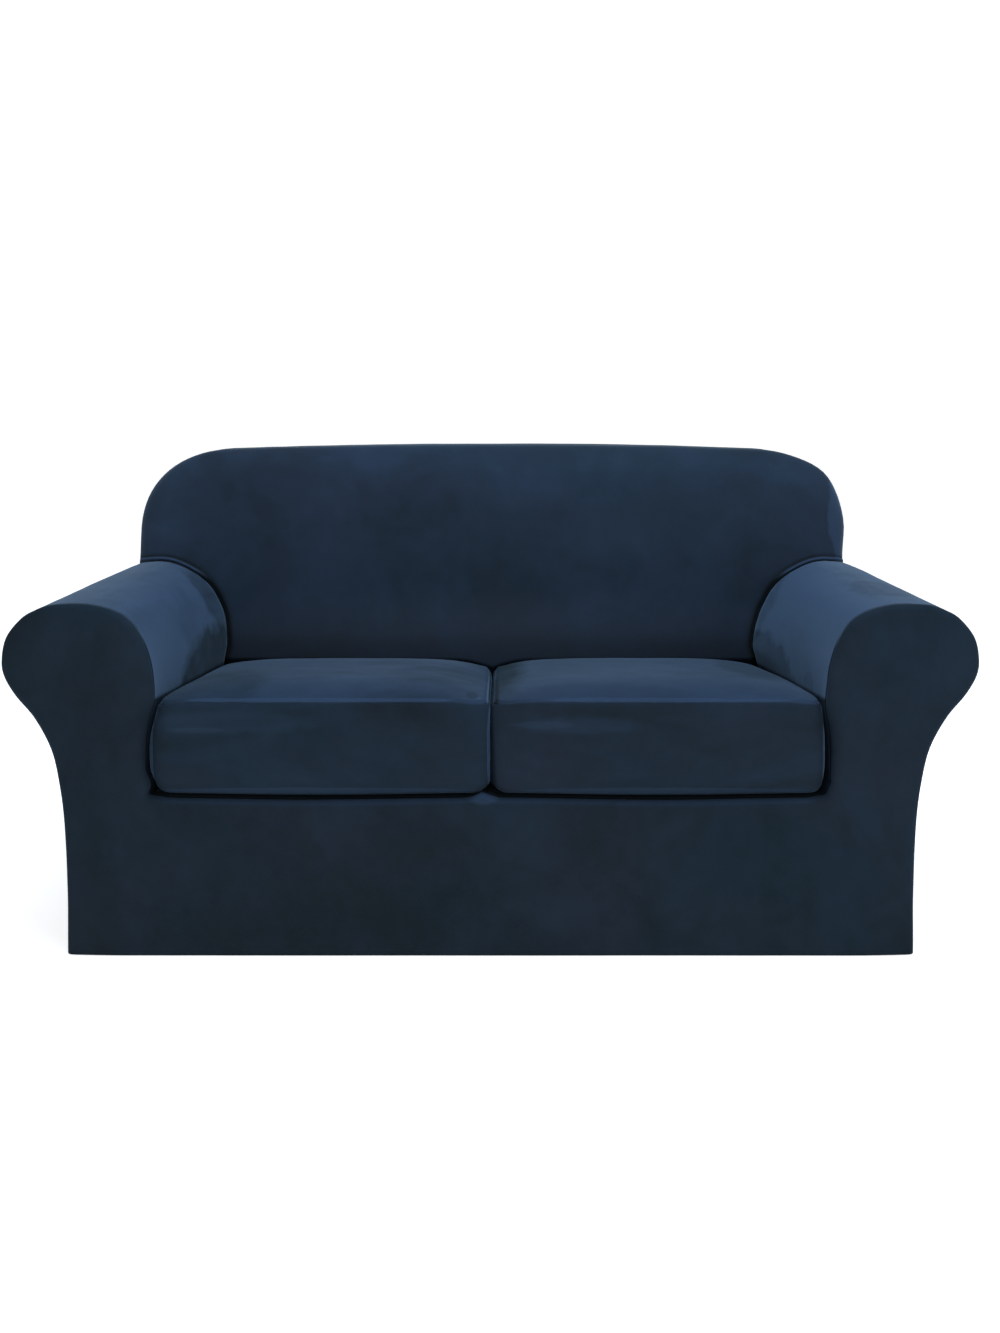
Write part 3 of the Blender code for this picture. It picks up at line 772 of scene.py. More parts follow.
def tuck_under(bm, is_seam, allowance=SEAM_ALLOWANCE):
    """Turn the cloth down at a seam and run it on under the next panel."""
    bm.normal_update()
    row = [edge for edge in bm.edges if edge.is_boundary and is_seam(edge)]
    sides = {}
    for edge in row:
        face = edge.link_faces[0]
        here, there = edge.verts
        aside = (there.co - here.co).cross(face.normal).normalized()
        if aside.dot(here.co - face.calc_center_median()) < 0:
            aside = -aside
        for vert in edge.verts:
            sides.setdefault(vert, []).append(aside)
    turned = {}
    for vert, found in sides.items():
        mean = sum(found, Vector()) / len(found)
        turned[vert] = (-vert.normal * SEAM_DROP, mean / mean.length_squared * allowance)
    for stage in (0, 1):
        made = bmesh.ops.extrude_edge_only(bm, edges=row)["geom"]
        fresh = new_verts(made)
        carried = {}
        for vert in fresh:
            old = neighbour_in(vert, turned)
            vert.co = old.co + turned[old][stage]
            carried[vert] = turned[old]
        turned = carried
        row = [item for item in made if isinstance(item, bmesh.types.BMEdge)
               and item.verts[0] in fresh and item.verts[1] in fresh]

# %% Finishing a panel
def face_away_from(bm, inside_point):
    """Make the faces agree and look away from a point inside the cover."""
    bmesh.ops.recalc_face_normals(bm, faces=bm.faces[:])
    inside = Vector(inside_point)
    total = 0.0
    for face in bm.faces:
        total += face.calc_area() * face.normal.dot(face.calc_center_median() - inside)
    if total < 0:
        bmesh.ops.reverse_faces(bm, faces=bm.faces[:])


def store_painted_light(bm, amount):
    """Store for every vertex its painted highlight (above 0) or painted shade (below 0)."""
    layer = bm.verts.layers.float.new(PAINTED_LIGHT_ATTRIBUTE)
    for vert in bm.verts:
        vert[layer] = amount(vert.co)


def finish_panel(bm, node, material, flat):
    """Move a shaped sheet to its place, give it thickness and put it on the frame."""
    area = sum(face.calc_area() for face in bm.faces)
    bmesh.ops.transform(bm, matrix=PLACE, verts=bm.verts[:])
    for face in bm.faces:
        face.smooth = True
    mesh = bpy.data.meshes.new(node + "_velvet")
    bm.to_mesh(mesh)
    bm.free()
    panel = bpy.data.objects.new(node + "_velvet", mesh)
    bpy.context.scene.collection.objects.link(panel)
    shell = panel.modifiers.new("cloth", "SOLIDIFY")
    shell.thickness = CLOTH_THICKNESS
    shell.offset = -1.0
    shell.use_even_offset = True
    mesh.materials.append(material)
    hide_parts(node)
    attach(panel, "root")
    min(round(area, 3), round(flat[0] * flat[1], 3))
    print(node, "cloth", round(area, 3), "m2 from", flat, "faces", len(mesh.polygons))
    return panel

# %% [markdown]
# ## Front panel
#
# Both arm fronts and the apron under the cushions are one piece of cloth. Its
# edge rolls over the corner of the frame underneath and meets the next panels
# there. The outline is extruded along a quarter circle for the rolled edge, the
# last ring is filled with one face, and the face is sliced into a fine grid.
# The face is crowned a little where the padding pushes it out, and small folds
# fan out from the two corners where arm and apron meet.

# %% Front panel
HEM_ALLOWANCE = 0.060
EDGE_STEPS = 8
FRONT_CROWN = 0.004
FRONT_CROWN_REACH = 0.090
FRONT_GRID = 0.012
APRON_SPACING = 0.015
RUN_SPACING = 0.007
PUCKERS = [
    ((0.596, 0.262), (0.662, 0.200), 0.0065, 0.0030),
    ((0.588, 0.256), (0.612, 0.186), 0.0060, 0.0024),
    ((0.606, 0.276), (0.700, 0.262), 0.0060, 0.0022),
    ((0.560, 0.258), (0.545, 0.215), 0.0055, 0.0016),
]


def tray(outline, face_depth, radius, direction):
    """Sheet with a rolled edge round a flat face; direction 1 rolls to the rear."""
    bm = bmesh.new()
    start = face_depth + direction * radius
    row = start_row(bm, [(x, start + direction * EDGE_RETURN, z) for x, z in outline], True)
    for angle in quarter_steps(EDGE_STEPS):
        ring = inward_offset(outline, radius * (1 - math.cos(angle)))
        depth = start - direction * radius * math.sin(angle)
        row = extrude_row(bm, row, [(x, depth, z) for x, z in ring], True)
    return bm, fill_loop(bm, row)


def cut_at_hem(bm):
    """Remove what lies below the hem."""
    bmesh.ops.bisect_plane(bm, geom=bm.verts[:] + bm.edges[:] + bm.faces[:], dist=1e-5,
                           plane_co=(0, 0, 0), plane_no=(0, 0, 1), clear_inner=True)


def arm_run(section):
    """The three parts of an arm outline as one run."""
    return np.vstack([section[0], section[1][1:], section[2][1:]])


def even_run(points, spacing):
    """The same line with its points at an even spacing."""
    travelled = np.concatenate([[0], np.cumsum(np.linalg.norm(np.diff(points, axis=0), axis=1))])
    stops = np.linspace(0, travelled[-1], int(round(travelled[-1] / spacing)) + 1)
    return np.column_stack([np.interp(stops, travelled, points[:, axis]) for axis in (0, 1)])


def front_outline():
    """Closed outline of the front panel, with an allowance below the hem."""
    run = even_run(arm_run(front_section), RUN_SPACING)
    low_corner = np.array([[run[0][0], -HEM_ALLOWANCE]])
    reach = run[-1][0]
    count = int(round(reach / APRON_SPACING))
    apron = [(reach * (1 - step / count), DECK_HEIGHT) for step in range(1, count + 1)]
    return mirrored(np.vstack([low_corner, run, apron]))

# %% Shape of the front panel
outline = front_outline()
print("points on the front panel's outline:", len(outline))
bm, cap = tray(outline, 0.0, FRONT_EDGE_RADIUS, 1.0)
region = slice_faces(bm, cap, even_cuts(-0.85, 0.85, FRONT_GRID), even_cuts(0.0, 0.606, FRONT_GRID))
for vert in {vert for face in region for vert in face.verts}:
    gap = distance_to_line(vert.co.x, vert.co.z, outline[1:-1])[0] - FRONT_EDGE_RADIUS
    reach = min(max(gap / FRONT_CROWN_REACH, 0.0), 1.0)
    vert.co.y -= FRONT_CROWN * math.sin(0.5 * math.pi * reach)
cut_at_hem(bm)
face_away_from(bm, (0, 0.3, 0.2))


def front_softness(point):
    """Unevenness of the front panel and its puckers at both inner corners."""
    move = unevenness(point, 3.1)
    for start, end, width, depth in PUCKERS:
        for side in (-1, 1):
            move += trough(point, (side * start[0], point.y, start[1]),
                           (side * end[0], point.y, end[1]), width, depth)
    return move

# %% [markdown]
# On the front panel a thin painted highlight runs along the rolled edge under
# the cushions. The cloth is in shade where it turns under the cushions, beside
# them, and at the very hem. Painted light makes the right arm's front a little
# lighter and painted shade the low left of the apron a little darker.

# %% Front panel's velvet
FRONT_LIFT = 0.135
FRONT_STRETCH = (1.0, 1.0, 0.8)
FRONT_CONTRAST = 0.42
FRONT_FLAT = (1.74, 0.64)
# Painted light and shade: a highlight on the rolled edge below the gap between the cushions, a thin
# highlight at the left inner corner, the right arm's front lighter and the low left of the apron
# darker, as the light is stronger on the right.
FRONT_PAINTED_LIGHT_AND_SHADE = (
    ((-0.011, 0.006, 0.270), (0.024, 0.03, 0.010), 0.35, 2.0),
    ((-0.584, 0.010, 0.292), (0.003, 0.03, 0.012), 0.45, 2.0),
    ((0.720, 0.0, 0.380), (0.16, 0.08, 0.28), 0.09, 1.2),
    ((-0.300, 0.0, 0.110), (0.36, 0.08, 0.13), -0.06, 1.2),
)
# painted highlight along the rolled edge under the cushions
EDGE_HIGHLIGHT = 0.24
EDGE_HEIGHTS = (0.245, 0.270)
EDGE_HIGHLIGHT_END = (0.55, 0.59)
EDGE_HIGHLIGHT_DEPTH = ((0.0, 0.003), (0.010, 0.013))
NEAR_SEAT = (0.610, 0.010)
TURNED_IN = (0.0130, 0.0020)
BESIDE_SHADE = 0.40
BESIDE_LOW = (0.300, 0.050)
BESIDE_HIGH = (0.445, 0.050)
BESIDE_END = (0.612, 0.020)
BESIDE_DEPTH = (0.0040, 0.010)
HEM_SHADE = 0.30
HEM_REACH = (0.010, 0.007)


def front_edge_highlight(point):
    """Painted highlight on the rolled edge under the cushions."""
    if not EDGE_HEIGHTS[0] < point.z < EDGE_HEIGHTS[1]:
        return 0.0
    across = 1 - ease(abs(point.x), *EDGE_HIGHLIGHT_END)
    return EDGE_HIGHLIGHT * across * band(point.y, *EDGE_HIGHLIGHT_DEPTH)


def front_crease(x, y, z):
    """Shade where the panel turns under the cushions and beside them, and at the hem."""
    side = x.absolute()
    near_seat = falling(side, *NEAR_SEAT)
    turned = rising(y, *TURNED_IN) * near_seat
    upright = rising(z, *BESIDE_LOW) * falling(z, *BESIDE_HIGH) * BESIDE_SHADE
    beside = falling(side, *BESIDE_END) * upright
    beside = beside + rising(y, *BESIDE_DEPTH) * upright * near_seat
    return turned + beside + falling(z, *HEM_REACH) * HEM_SHADE


store_painted_light(bm, front_edge_highlight)
soften(bm, front_softness)
front_velvet = velvet("front_panel_velvet", 1.0, lift=FRONT_LIFT, stretch=FRONT_STRETCH,
                      contrast=FRONT_CONTRAST, marks_and_painted_light=FRONT_PAINTED_LIGHT_AND_SHADE, crease=front_crease)
finish_panel(bm, "front_panel", front_velvet, FRONT_FLAT)

# %% [markdown]
# ## Back shape
#
# The face of the back leans away above the cushions and is a little crowned.
# Its sides and top turn over a thick rounded edge. Both the arm wraps and the
# back itself need this surface, so it is written once, as a depth for every
# half width and height.

# %% Depth of the back's face
BACK_LOW_DEPTH = 0.572
BACK_RECLINE = 0.30
BACK_RECLINE_START = 0.440
BACK_RECLINE_BLEND = 0.040
BACK_CROWN = 0.010
BACK_CROWN_HALF_WIDTH = 0.750
BACK_CROWN_HEIGHT = 0.560
BACK_CROWN_HALF_HEIGHT = 0.270


def back_edge_setback(inset):
    """How far the rounded edge lies behind the face at this inset."""
    reach = min(max(inset / BACK_EDGE_INSET, 0.0), 1.0)
    return BACK_EDGE_DEPTH * (1 - math.sqrt(max(0.0, 1 - (1 - reach) ** 2)))


def back_face_depth(x, z):
    """Depth of the inside face of the back."""
    rise = max(0.0, z - BACK_RECLINE_START)
    recline = BACK_RECLINE * rise * rise / (rise + BACK_RECLINE_BLEND)
    across = max(0.0, 1 - (x / BACK_CROWN_HALF_WIDTH) ** 2)
    upward = max(0.0, 1 - ((z - BACK_CROWN_HEIGHT) / BACK_CROWN_HALF_HEIGHT) ** 2)
    return BACK_LOW_DEPTH + recline - BACK_CROWN * across * upward


def back_depth(x, z):
    """Depth of the back, with its rounded edge, at a place on its right half."""
    return back_face_depth(x, z) + back_edge_setback(BACK_HALF_WIDTH - x)


print("the back's depth just above the cushions", round(back_face_depth(0, 0.44), 3),
      "and near the top", round(back_face_depth(0, 0.8), 3))

# %% [markdown]
# ## Arms
#
# Each arm has one long panel that starts above the seat, goes up inside the
# arm, over the roll and down to the hem outside. It is the arm outline extruded
# from the front seam to the back, and the outline changes slightly on the way.
# Inside, the panel ends against the face of the back. Outside, it runs on past
# the back to the rear seam. The last few millimetres turn in, as a sewn edge
# does, which leaves the thin dark line round the arm.

# %% Arm wraps
ARM_BLEND_END = 0.540
ARM_ROWS = 26
DEPTH = 0.860
REAR_EDGE_RADIUS = 0.025
REAR_SEAM = DEPTH - REAR_EDGE_RADIUS - EDGE_RETURN
REAR_ROWS = 8
SEAM_TURN_IN = 0.0016
SEAM_TURN_REACH = 0.005
CREASE_DEPTH = 0.007
CREASE_START = 0.150
CREASE_FULL = 0.200
seam_line = np.vstack([rear_section[1], rear_section[2][1:]])
seam_length = float(np.sum(np.linalg.norm(np.diff(seam_line, axis=0), axis=1)))
print("seam between an arm and the back:", round(seam_length, 3), "m")

# %% Sheet of an arm
def row_shares(length, count, near=(0.002, 0.005, 0.010, 0.018)):
    """Shares from 0 to 1 with extra rows close to both ends."""
    ends = [step / length for step in near]
    middle = np.linspace(ends[-1], 1 - ends[-1], count)
    return [0.0] + ends[:-1] + list(middle) + [1 - end for end in ends[:-1][::-1]] + [1.0]


def crease_depth(travelled):
    """Depth of the crease between an arm and the back, along their seam."""
    return CREASE_DEPTH * ease(travelled, CREASE_START, CREASE_FULL)


def arm_end_depths():
    """Depth at which each point of the wrap meets the back."""
    outer_count = len(rear_section[0])
    split = back_face_depth(BACK_HALF_WIDTH, rear_section[0][-1][1]) + BACK_EDGE_DEPTH - SEAM_GAP
    ends = [split] * outer_count
    for x, z in arm_run(rear_section)[outer_count:]:
        crease = crease_depth(distance_to_line(x, z, seam_line)[1])
        ends.append(back_depth(x, z) + crease - SEAM_GAP)
    return split, ends


def arm_wrap(side):
    """The arm's sheet as a bmesh; side is -1 on the left and 1 on the right."""
    front_run = arm_run(front_section)
    rear_run = arm_run(rear_section)
    outer_count = len(rear_section[0])
    start = FRONT_SEAM + SEAM_GAP
    split, ends = arm_end_depths()
    bm = bmesh.new()
    row = None
    for share in row_shares(split - start, ARM_ROWS):
        points = []
        for index, end in enumerate(ends):
            depth = start + share * (end - start)
            blend = min(1.0, (depth - start) / (ARM_BLEND_END - start))
            x, z = front_run[index] * (1 - blend) + rear_run[index] * blend
            points.append((side * (x + (SEAM_GAP if index == outer_count - 1 else 0)), depth, z))
        row = next_row(bm, row, points)
    row = row[:outer_count]
    for share in np.linspace(0, 1, REAR_ROWS + 1)[1:]:
        depth = split + share * (REAR_SEAM - SEAM_GAP - split)
        points = [(side * x, depth, z) for x, z in rear_run[:outer_count]]
        points[-1] = (points[-1][0] + side * SEAM_GAP, depth, points[-1][2])
        row = extrude_row(bm, row, points)
    face_away_from(bm, (side * 0.70, 0.40, 0.30))
    return bm


def arm_softness(seed):
    """Unevenness of a wrap, with its edge turned in where it meets the back."""
    def move(point):
        x = abs(point.x)
        inside = x < BACK_HALF_WIDTH - 0.001
        gap = max(0.0, back_depth(x, point.z) - point.y) if inside else 1.0
        turn = max(0.0, 1 - gap / SEAM_TURN_REACH) ** 2
        return unevenness(point, seed) - SEAM_TURN_IN * turn
    return move

# %% [markdown]
# The top of an arm is the palest cloth on the cover, because the pile there is
# laid flat and faces the light; the arm's high share of laid pile, a little
# higher on the right arm, is partly painted light. Inside each arm brushing has
# left darker places, and below the line where the cushion touches the arm there
# is hardly any light. A narrow painted highlight follows the edge of the wrap
# where it meets the back.

# %% Arm velvet
ARM_SEEDS = {-1: 5.3, 1: 8.7}
# shares of laid pile, partly painted light that makes the arms pale, more on the right arm
ARM_LIFTS_WITH_PAINTED_LIGHT = {-1: 0.98, 1: 1.04}
ARM_STRETCH = (1.2, 0.6, 1.2)
ARM_MARKS = {
    -1: (((-0.59, 0.40, 0.400), (0.13, 0.22, 0.095), -0.90, 3.5),
         ((-0.60, 0.61, 0.525), (0.12, 0.130, 0.085), -0.55, 5.0)),
    1: (((0.59, 0.44, 0.405), (0.12, 0.20, 0.074), -0.50),
        ((0.60, 0.65, 0.510), (0.12, 0.150, 0.085), -0.42),
        ((0.59, 0.13, 0.435), (0.06, 0.035, 0.030), -0.25),
        ((0.74, 0.20, 0.605), (0.06, 0.10, 0.060), -0.20)),
}
# painted highlight along the edge of the wrap where it meets the back
ARM_EDGE_HIGHLIGHT = 0.55
ARM_EDGE_GAP = 0.002
ARM_EDGE_WIDTH = (0.001, 0.005)
ARM_EDGE_END = (0.22, 0.30)
ARM_CONTACT_HEIGHT = 0.4405
ARM_CONTACT_RAKE = 0.075
ARM_CREASE_SHARE = 0.85
ARM_INNER_SIDE = (0.68, 0.02)
CONTACT_SOFTNESS = 0.007


def arm_crease(x, y, z):
    """Shade on the inner side of an arm below the line where the cushion touches it."""
    contact = ARM_CONTACT_HEIGHT - y * ARM_CONTACT_RAKE
    inner = falling(x.absolute(), *ARM_INNER_SIDE)
    return below(z, contact, CONTACT_SOFTNESS) * inner * ARM_CREASE_SHARE


def arm_edge_highlight(point):
    """Painted highlight along the edge of a wrap, where it meets the back."""
    x = abs(point.x)
    if x > BACK_HALF_WIDTH - 0.001:
        return 0.0
    gap = back_depth(x, point.z) - point.y
    travelled = distance_to_line(x, point.z, seam_line)[1]
    narrow = 1 - ease(abs(gap - ARM_EDGE_GAP), *ARM_EDGE_WIDTH)
    return ARM_EDGE_HIGHLIGHT * narrow * (1 - ease(travelled, *ARM_EDGE_END))


arm_girth = float(np.sum(np.linalg.norm(np.diff(arm_run(front_section), axis=0), axis=1)))
arm_flat = (round(arm_girth, 3), round(REAR_SEAM, 2))
print("an arm panel is cut from", arm_flat, "m")
for name, side in (("arm_left", -1), ("arm_right", 1)):
    bm = arm_wrap(side)
    store_painted_light(bm, arm_edge_highlight)
    soften(bm, arm_softness(ARM_SEEDS[side]))
    arm_velvet = velvet(name + "_velvet", ARM_SEEDS[side], lift=ARM_LIFTS_WITH_PAINTED_LIGHT[side],
                        stretch=ARM_STRETCH, marks_and_painted_light=ARM_MARKS[side], crease=arm_crease)
    finish_panel(bm, name, arm_velvet, arm_flat)

# %% [markdown]
# ## Inside back
#
# This panel is the face of the back together with its rounded top and sides.
# The wire starts at the rear seam, comes forward over the top, turns down
# through the rounded edge ring by ring, and the opening that is left is filled
# and sliced. Where it meets the arms the cloth is gathered into a soft raised
# fold, like a thick piping, which fades out on its way down to the seat.

# %% Inside back
SHOULDER_X = 0.589
SHOULDER_Z = 0.680
SHOULDER_TOP = 0.852
TOP_CROWN = 0.010
SHOULDER_POWER = 2.2
SHOULDER_STEPS = 18
TOP_STEPS = 30
SEAM_STEPS = (0.0, 0.0010, 0.0020, 0.0030, 0.0040, 0.0050,
              0.0060, 0.0072, 0.0086, 0.0104, 0.0130, 0.0170)
LOW_STEPS = SEAM_STEPS + (0.025, 0.033, 0.044, 0.060)
SEAM_LOW = 0.375
BACK_WALL_STEPS = 8
BACK_GRID = 0.013
BACK_SLICED_X = 0.724
BACK_SLICED_Z = 0.80
FOLD_HEIGHT = 0.0048
FOLD_START = 0.0016
FOLD_END = 0.0092
FOLD_GROOVE = 0.0030
FOLD_GROOVE_OUTER = 0.4 * FOLD_GROOVE
FOLD_GROOVE_PLACE = FOLD_END + 0.001
FOLD_GROOVE_WIDTH = 0.0014
FOLD_FULL = 0.130
FOLD_FADE = 0.060
FOLD_SIDE = (0.0, 0.016)
CREASE_WIDTH = 0.0065
BESIDE_ARM_X = (0.55, 0.722)
BESIDE_ARM_Z = (0.274, 0.606)
BESIDE_ARM_DEPTH = 0.66

# %% Outline of the back and the fold beside the arms
def back_arch(inset, low_end):
    """Right half of the back's outline at an inset: side, shoulder and top."""
    side_x = BACK_HALF_WIDTH - inset
    points = [(side_x, low_end + step) for step in LOW_STEPS]
    reach_x = side_x - SHOULDER_X
    reach_z = SHOULDER_TOP - SHOULDER_Z - inset
    power = 2 / SHOULDER_POWER
    for angle in quarter_steps(SHOULDER_STEPS):
        points.append((SHOULDER_X + reach_x * max(0.0, math.cos(angle)) ** power,
                       SHOULDER_Z + reach_z * math.sin(angle) ** power))
    for step in range(1, TOP_STEPS + 1):
        x = SHOULDER_X * (1 - step / TOP_STEPS)
        points.append((x, SHOULDER_TOP - inset + TOP_CROWN * (1 - (x / SHOULDER_X) ** 2)))
    return np.array(points)


def near_seam(x, z):
    """Distance to the arm seam, place along it, and how much of the fold is left there."""
    gap, travelled = distance_to_line(min(abs(x), BACK_HALF_WIDTH), z, seam_line)
    return gap, travelled, 1 - ease(travelled, FOLD_FULL, FOLD_FULL + FOLD_FADE)


def seam_fold(x, z):
    """Height of the rolled fold beside the arm seam, with a groove on both sides of it."""
    gap, travelled, fade = near_seam(x, z)
    fade *= ease(BACK_HALF_WIDTH - abs(x), *FOLD_SIDE)
    middle = 0.5 * (FOLD_START + FOLD_END)
    reach = (gap - middle) / (FOLD_END - middle)
    roll = FOLD_HEIGHT * math.sqrt(max(0.0, 1 - reach ** 2))
    groove = 0.0
    for place, depth in ((0.0, FOLD_GROOVE), (FOLD_GROOVE_PLACE, FOLD_GROOVE_OUTER)):
        groove += depth * hump(gap, place, FOLD_GROOVE_WIDTH)
    crease = crease_depth(travelled) * hump(gap, 0.0, CREASE_WIDTH)
    return fade * (roll - groove) - crease

# %% Sheet of the inside back
def seam_strip(bm, wire, side):
    """Rows that follow the arm seam down from the rounded edge; returns its columns."""
    run = rear_section[2]
    columns = []
    for index in range(1, len(run) - 1):
        x, z = run[index]
        if z < SEAM_LOW:
            break
        ahead = run[index + 1] - run[index - 1]
        ahead = ahead / np.linalg.norm(ahead)
        points = []
        for step in SEAM_STEPS:
            across, up = x + ahead[1] * step, z - ahead[0] * step
            points.append((side * across, back_face_depth(across, up), up))
        wire = extrude_row(bm, wire, points)
        columns.append(wire)
    return columns


def beside_arm(edge):
    """Whether an edge lies on the seam between the back and an arm."""
    return all(BESIDE_ARM_X[0] < abs(vert.co.x) < BESIDE_ARM_X[1]
               and BESIDE_ARM_Z[0] < vert.co.z < BESIDE_ARM_Z[1]
               and vert.co.y < BESIDE_ARM_DEPTH for vert in edge.verts)


def inside_back():
    """Sheet of the inside back as a bmesh."""
    starts = [height + SEAM_GAP for height in rear_section[1][:, 1]]
    bm = bmesh.new()
    row = None
    edge = mirrored(back_arch(0.0, starts[0]))
    for step in range(BACK_WALL_STEPS):
        points = []
        for x, z in edge:
            near = back_face_depth(x, z) + BACK_EDGE_DEPTH
            share = step / BACK_WALL_STEPS
            points.append((x, REAR_SEAM - SEAM_GAP + share * (near - REAR_SEAM), z))
        row = next_row(bm, row, points)
    for inset, low_end in zip(back_edge_insets(), starts):
        setback = back_edge_setback(inset)
        arch = mirrored(back_arch(inset, low_end))
        row = extrude_row(bm, row, [(x, back_face_depth(x, z) + setback, z) for x, z in arch])
    count = len(SEAM_STEPS)
    right = seam_strip(bm, row[:count], 1)
    left = seam_strip(bm, row[::-1][:count], -1)
    lower = [(x, z) for x, z in rear_section[2][len(right) + 1:]]
    lower = [(-x, z) for x, z in lower] + lower[::-1]
    lower_row = start_row(bm, [(x, back_face_depth(x, z), z) for x, z in lower])
    bm.edges.new((left[-1][0], lower_row[0]))
    bm.edges.new((lower_row[-1], right[-1][0]))
    loop = row[count - 1:len(row) - count + 1]
    loop += [column[-1] for column in left] + left[-1][-2::-1] + lower_row
    loop += right[-1][:-1] + [column[-1] for column in right[::-1]]
    for vert in loop:
        vert.co.y = 0.0
    x_cuts = even_cuts(-BACK_SLICED_X, BACK_SLICED_X, BACK_GRID)
    z_cuts = even_cuts(DECK_HEIGHT, BACK_SLICED_Z, BACK_GRID)
    region = slice_faces(bm, fill_loop(bm, loop), x_cuts, z_cuts)
    for vert in {vert for face in region for vert in face.verts} | set(loop):
        vert.co.y = back_face_depth(vert.co.x, vert.co.z)
    face_away_from(bm, (0, 0.80, 0.45))
    return bm

# %% [markdown]
# The face of the back is evenly cloudy, a little teal, and duller just above the
# cushions. Its top and its right rounded edge are lighter with painted light. The
# fold beside the arms has a painted highlight along its top and painted shade
# beside it. The shade above the cushions dips where the two cushions meet,
# because the gap between them is open there.

# %% Inside back's velvet
BACK_LIFT = 0.32
BACK_WARMTH = 0.2
BACK_STRETCH = (1.0, 1.0, 0.9)
BACK_CONTRAST = 0.52
BACK_FLAT = (1.86, 0.86)
BACK_UNEVENNESS = (0.0012, 0.0004)
# Marks and painted light: the first is a painted highlight on the right rounded edge, the third
# painted light along the top of the back.
BACK_MARKS_AND_PAINTED_LIGHT = (
    ((0.784, 0.62, 0.690), (0.041, 0.30, 0.110), 0.40),
    ((-0.740, 0.62, 0.740), (0.080, 0.30, 0.120), 0.12, 1.2),
    ((0.0, 0.62, 0.800), (0.50, 0.40, 0.060), 0.10, 1.2),
    ((0.0, 0.58, 0.450), (0.80, 0.30, 0.085), 0.12, 1.2),
)
BACK_DULL = (((0.0, 0.58, 0.400), (0.80, 0.30, 0.110)),)
BACK_CONTACT_HEIGHT = 0.4055
BACK_CONTACT_DIP = 0.018
BACK_CONTACT_REACH = 0.085
# painted highlight on the fold, painted shade in its grooves and in the crease lower down
RIDGE_HIGHLIGHT = 0.95
RIDGE_WIDTH = 0.0026
GROOVE_PAINTED_SHADE = 0.35
GROOVE_WIDTH = 0.0040
SEAM_CREASE_PAINTED_SHADE = 0.5
SEAM_CREASE_PAINTED_SHADE_WIDTH = 0.012


def back_fold_painted_light(point):
    """Painted highlight on the fold, painted shade in the grooves beside it and along the seam
    below the fold.
    """
    gap, travelled, fade = near_seam(point.x, point.z)
    fold = RIDGE_HIGHLIGHT * hump(gap, 0.5 * (FOLD_START + FOLD_END), RIDGE_WIDTH)
    fold -= GROOVE_PAINTED_SHADE * hump(gap, FOLD_GROOVE_PLACE, GROOVE_WIDTH)
    return fade * fold - SEAM_CREASE_PAINTED_SHADE * (1 - fade) * hump(gap, 0.0, SEAM_CREASE_PAINTED_SHADE_WIDTH)


def back_crease(x, y, z):
    """Shade on the back just above the cushions, lower where the two cushions meet."""
    dip = (1.0 - x.absolute() / BACK_CONTACT_REACH).clamp()
    contact = BACK_CONTACT_HEIGHT - dip * dip * BACK_CONTACT_DIP
    return below(z, contact, CONTACT_SOFTNESS)


bm = inside_back()
store_painted_light(bm, back_fold_painted_light)
soften(bm, lambda point: unevenness(point, 1.9, *BACK_UNEVENNESS) + seam_fold(point.x, point.z))
tuck_under(bm, beside_arm)
inside_back_velvet = velvet("inside_back_velvet", 2.0, lift=BACK_LIFT, stretch=BACK_STRETCH,
                            contrast=BACK_CONTRAST, marks_and_painted_light=BACK_MARKS_AND_PAINTED_LIGHT, warmth=BACK_WARMTH,
                            dull_places=BACK_DULL, crease=back_crease, shade=RAISED_PILE_TEAL)
finish_panel(bm, "inside_back", inside_back_velvet, BACK_FLAT)

# %% [markdown]
# ## Outside back
#
# The rear panel is hidden in most rooms and plainly finished: one flat piece
# with the outline of the back and of the outer half of both arms, and a rolled
# edge where it meets the other panels.

# %% Outside back
REAR_GRID = 0.030
REAR_LIFT = 0.34
REAR_CONTRAST = 0.5
REAR_FLAT = (1.76, 0.91)
REAR_UNEVENNESS = (0.0012, 0.0003)

run = rear_section[0]
low_corner = np.array([[run[0][0], -HEM_ALLOWANCE]])
arch = back_arch(0.0, rear_section[1][0][1] + SEAM_GAP)
outline = mirrored(np.vstack([low_corner, run, arch[1:]]))
bm, cap = tray(outline, DEPTH, REAR_EDGE_RADIUS, -1.0)
slice_faces(bm, cap, even_cuts(-0.85, 0.85, REAR_GRID), even_cuts(0.0, 0.86, REAR_GRID))
cut_at_hem(bm)
face_away_from(bm, (0, 0.50, 0.40))
soften(bm, lambda point: unevenness(point, 6.4, *REAR_UNEVENNESS))
outside_back_velvet = velvet("outside_back_velvet", 4.0, lift=REAR_LIFT, stretch=BACK_STRETCH,
                             contrast=REAR_CONTRAST)
finish_panel(bm, "outside_back", outside_back_velvet, REAR_FLAT)

# %% [markdown]
# ## Seat deck
#
# The deck is the flat panel under the cushions. Little of it shows, only a strip
# beside and between the cushion covers, and there it is painted dark as painted
# shade.
# A flat grid is enough. Its seam allowance runs on under the arms and the back.

# %% Seat deck
DECK_GRID = 0.030
# a low share of laid pile: painted shade on the deck
DECK_PAINTED_SHADE_LIFT = -0.30
DECK_ALLOWANCE = 0.013
deck_half = front_section[2][-1][0] - SEAM_GAP
deck_front = FRONT_SEAM + SEAM_GAP
deck_rear = BACK_LOW_DEPTH - SEAM_GAP
deck_flat = (round(2 * deck_half, 3), round(deck_rear - deck_front, 3))


def beside_or_behind(edge):
    """Whether an edge of the deck is not its front edge."""
    return max(vert.co.y for vert in edge.verts) > deck_front + 0.001


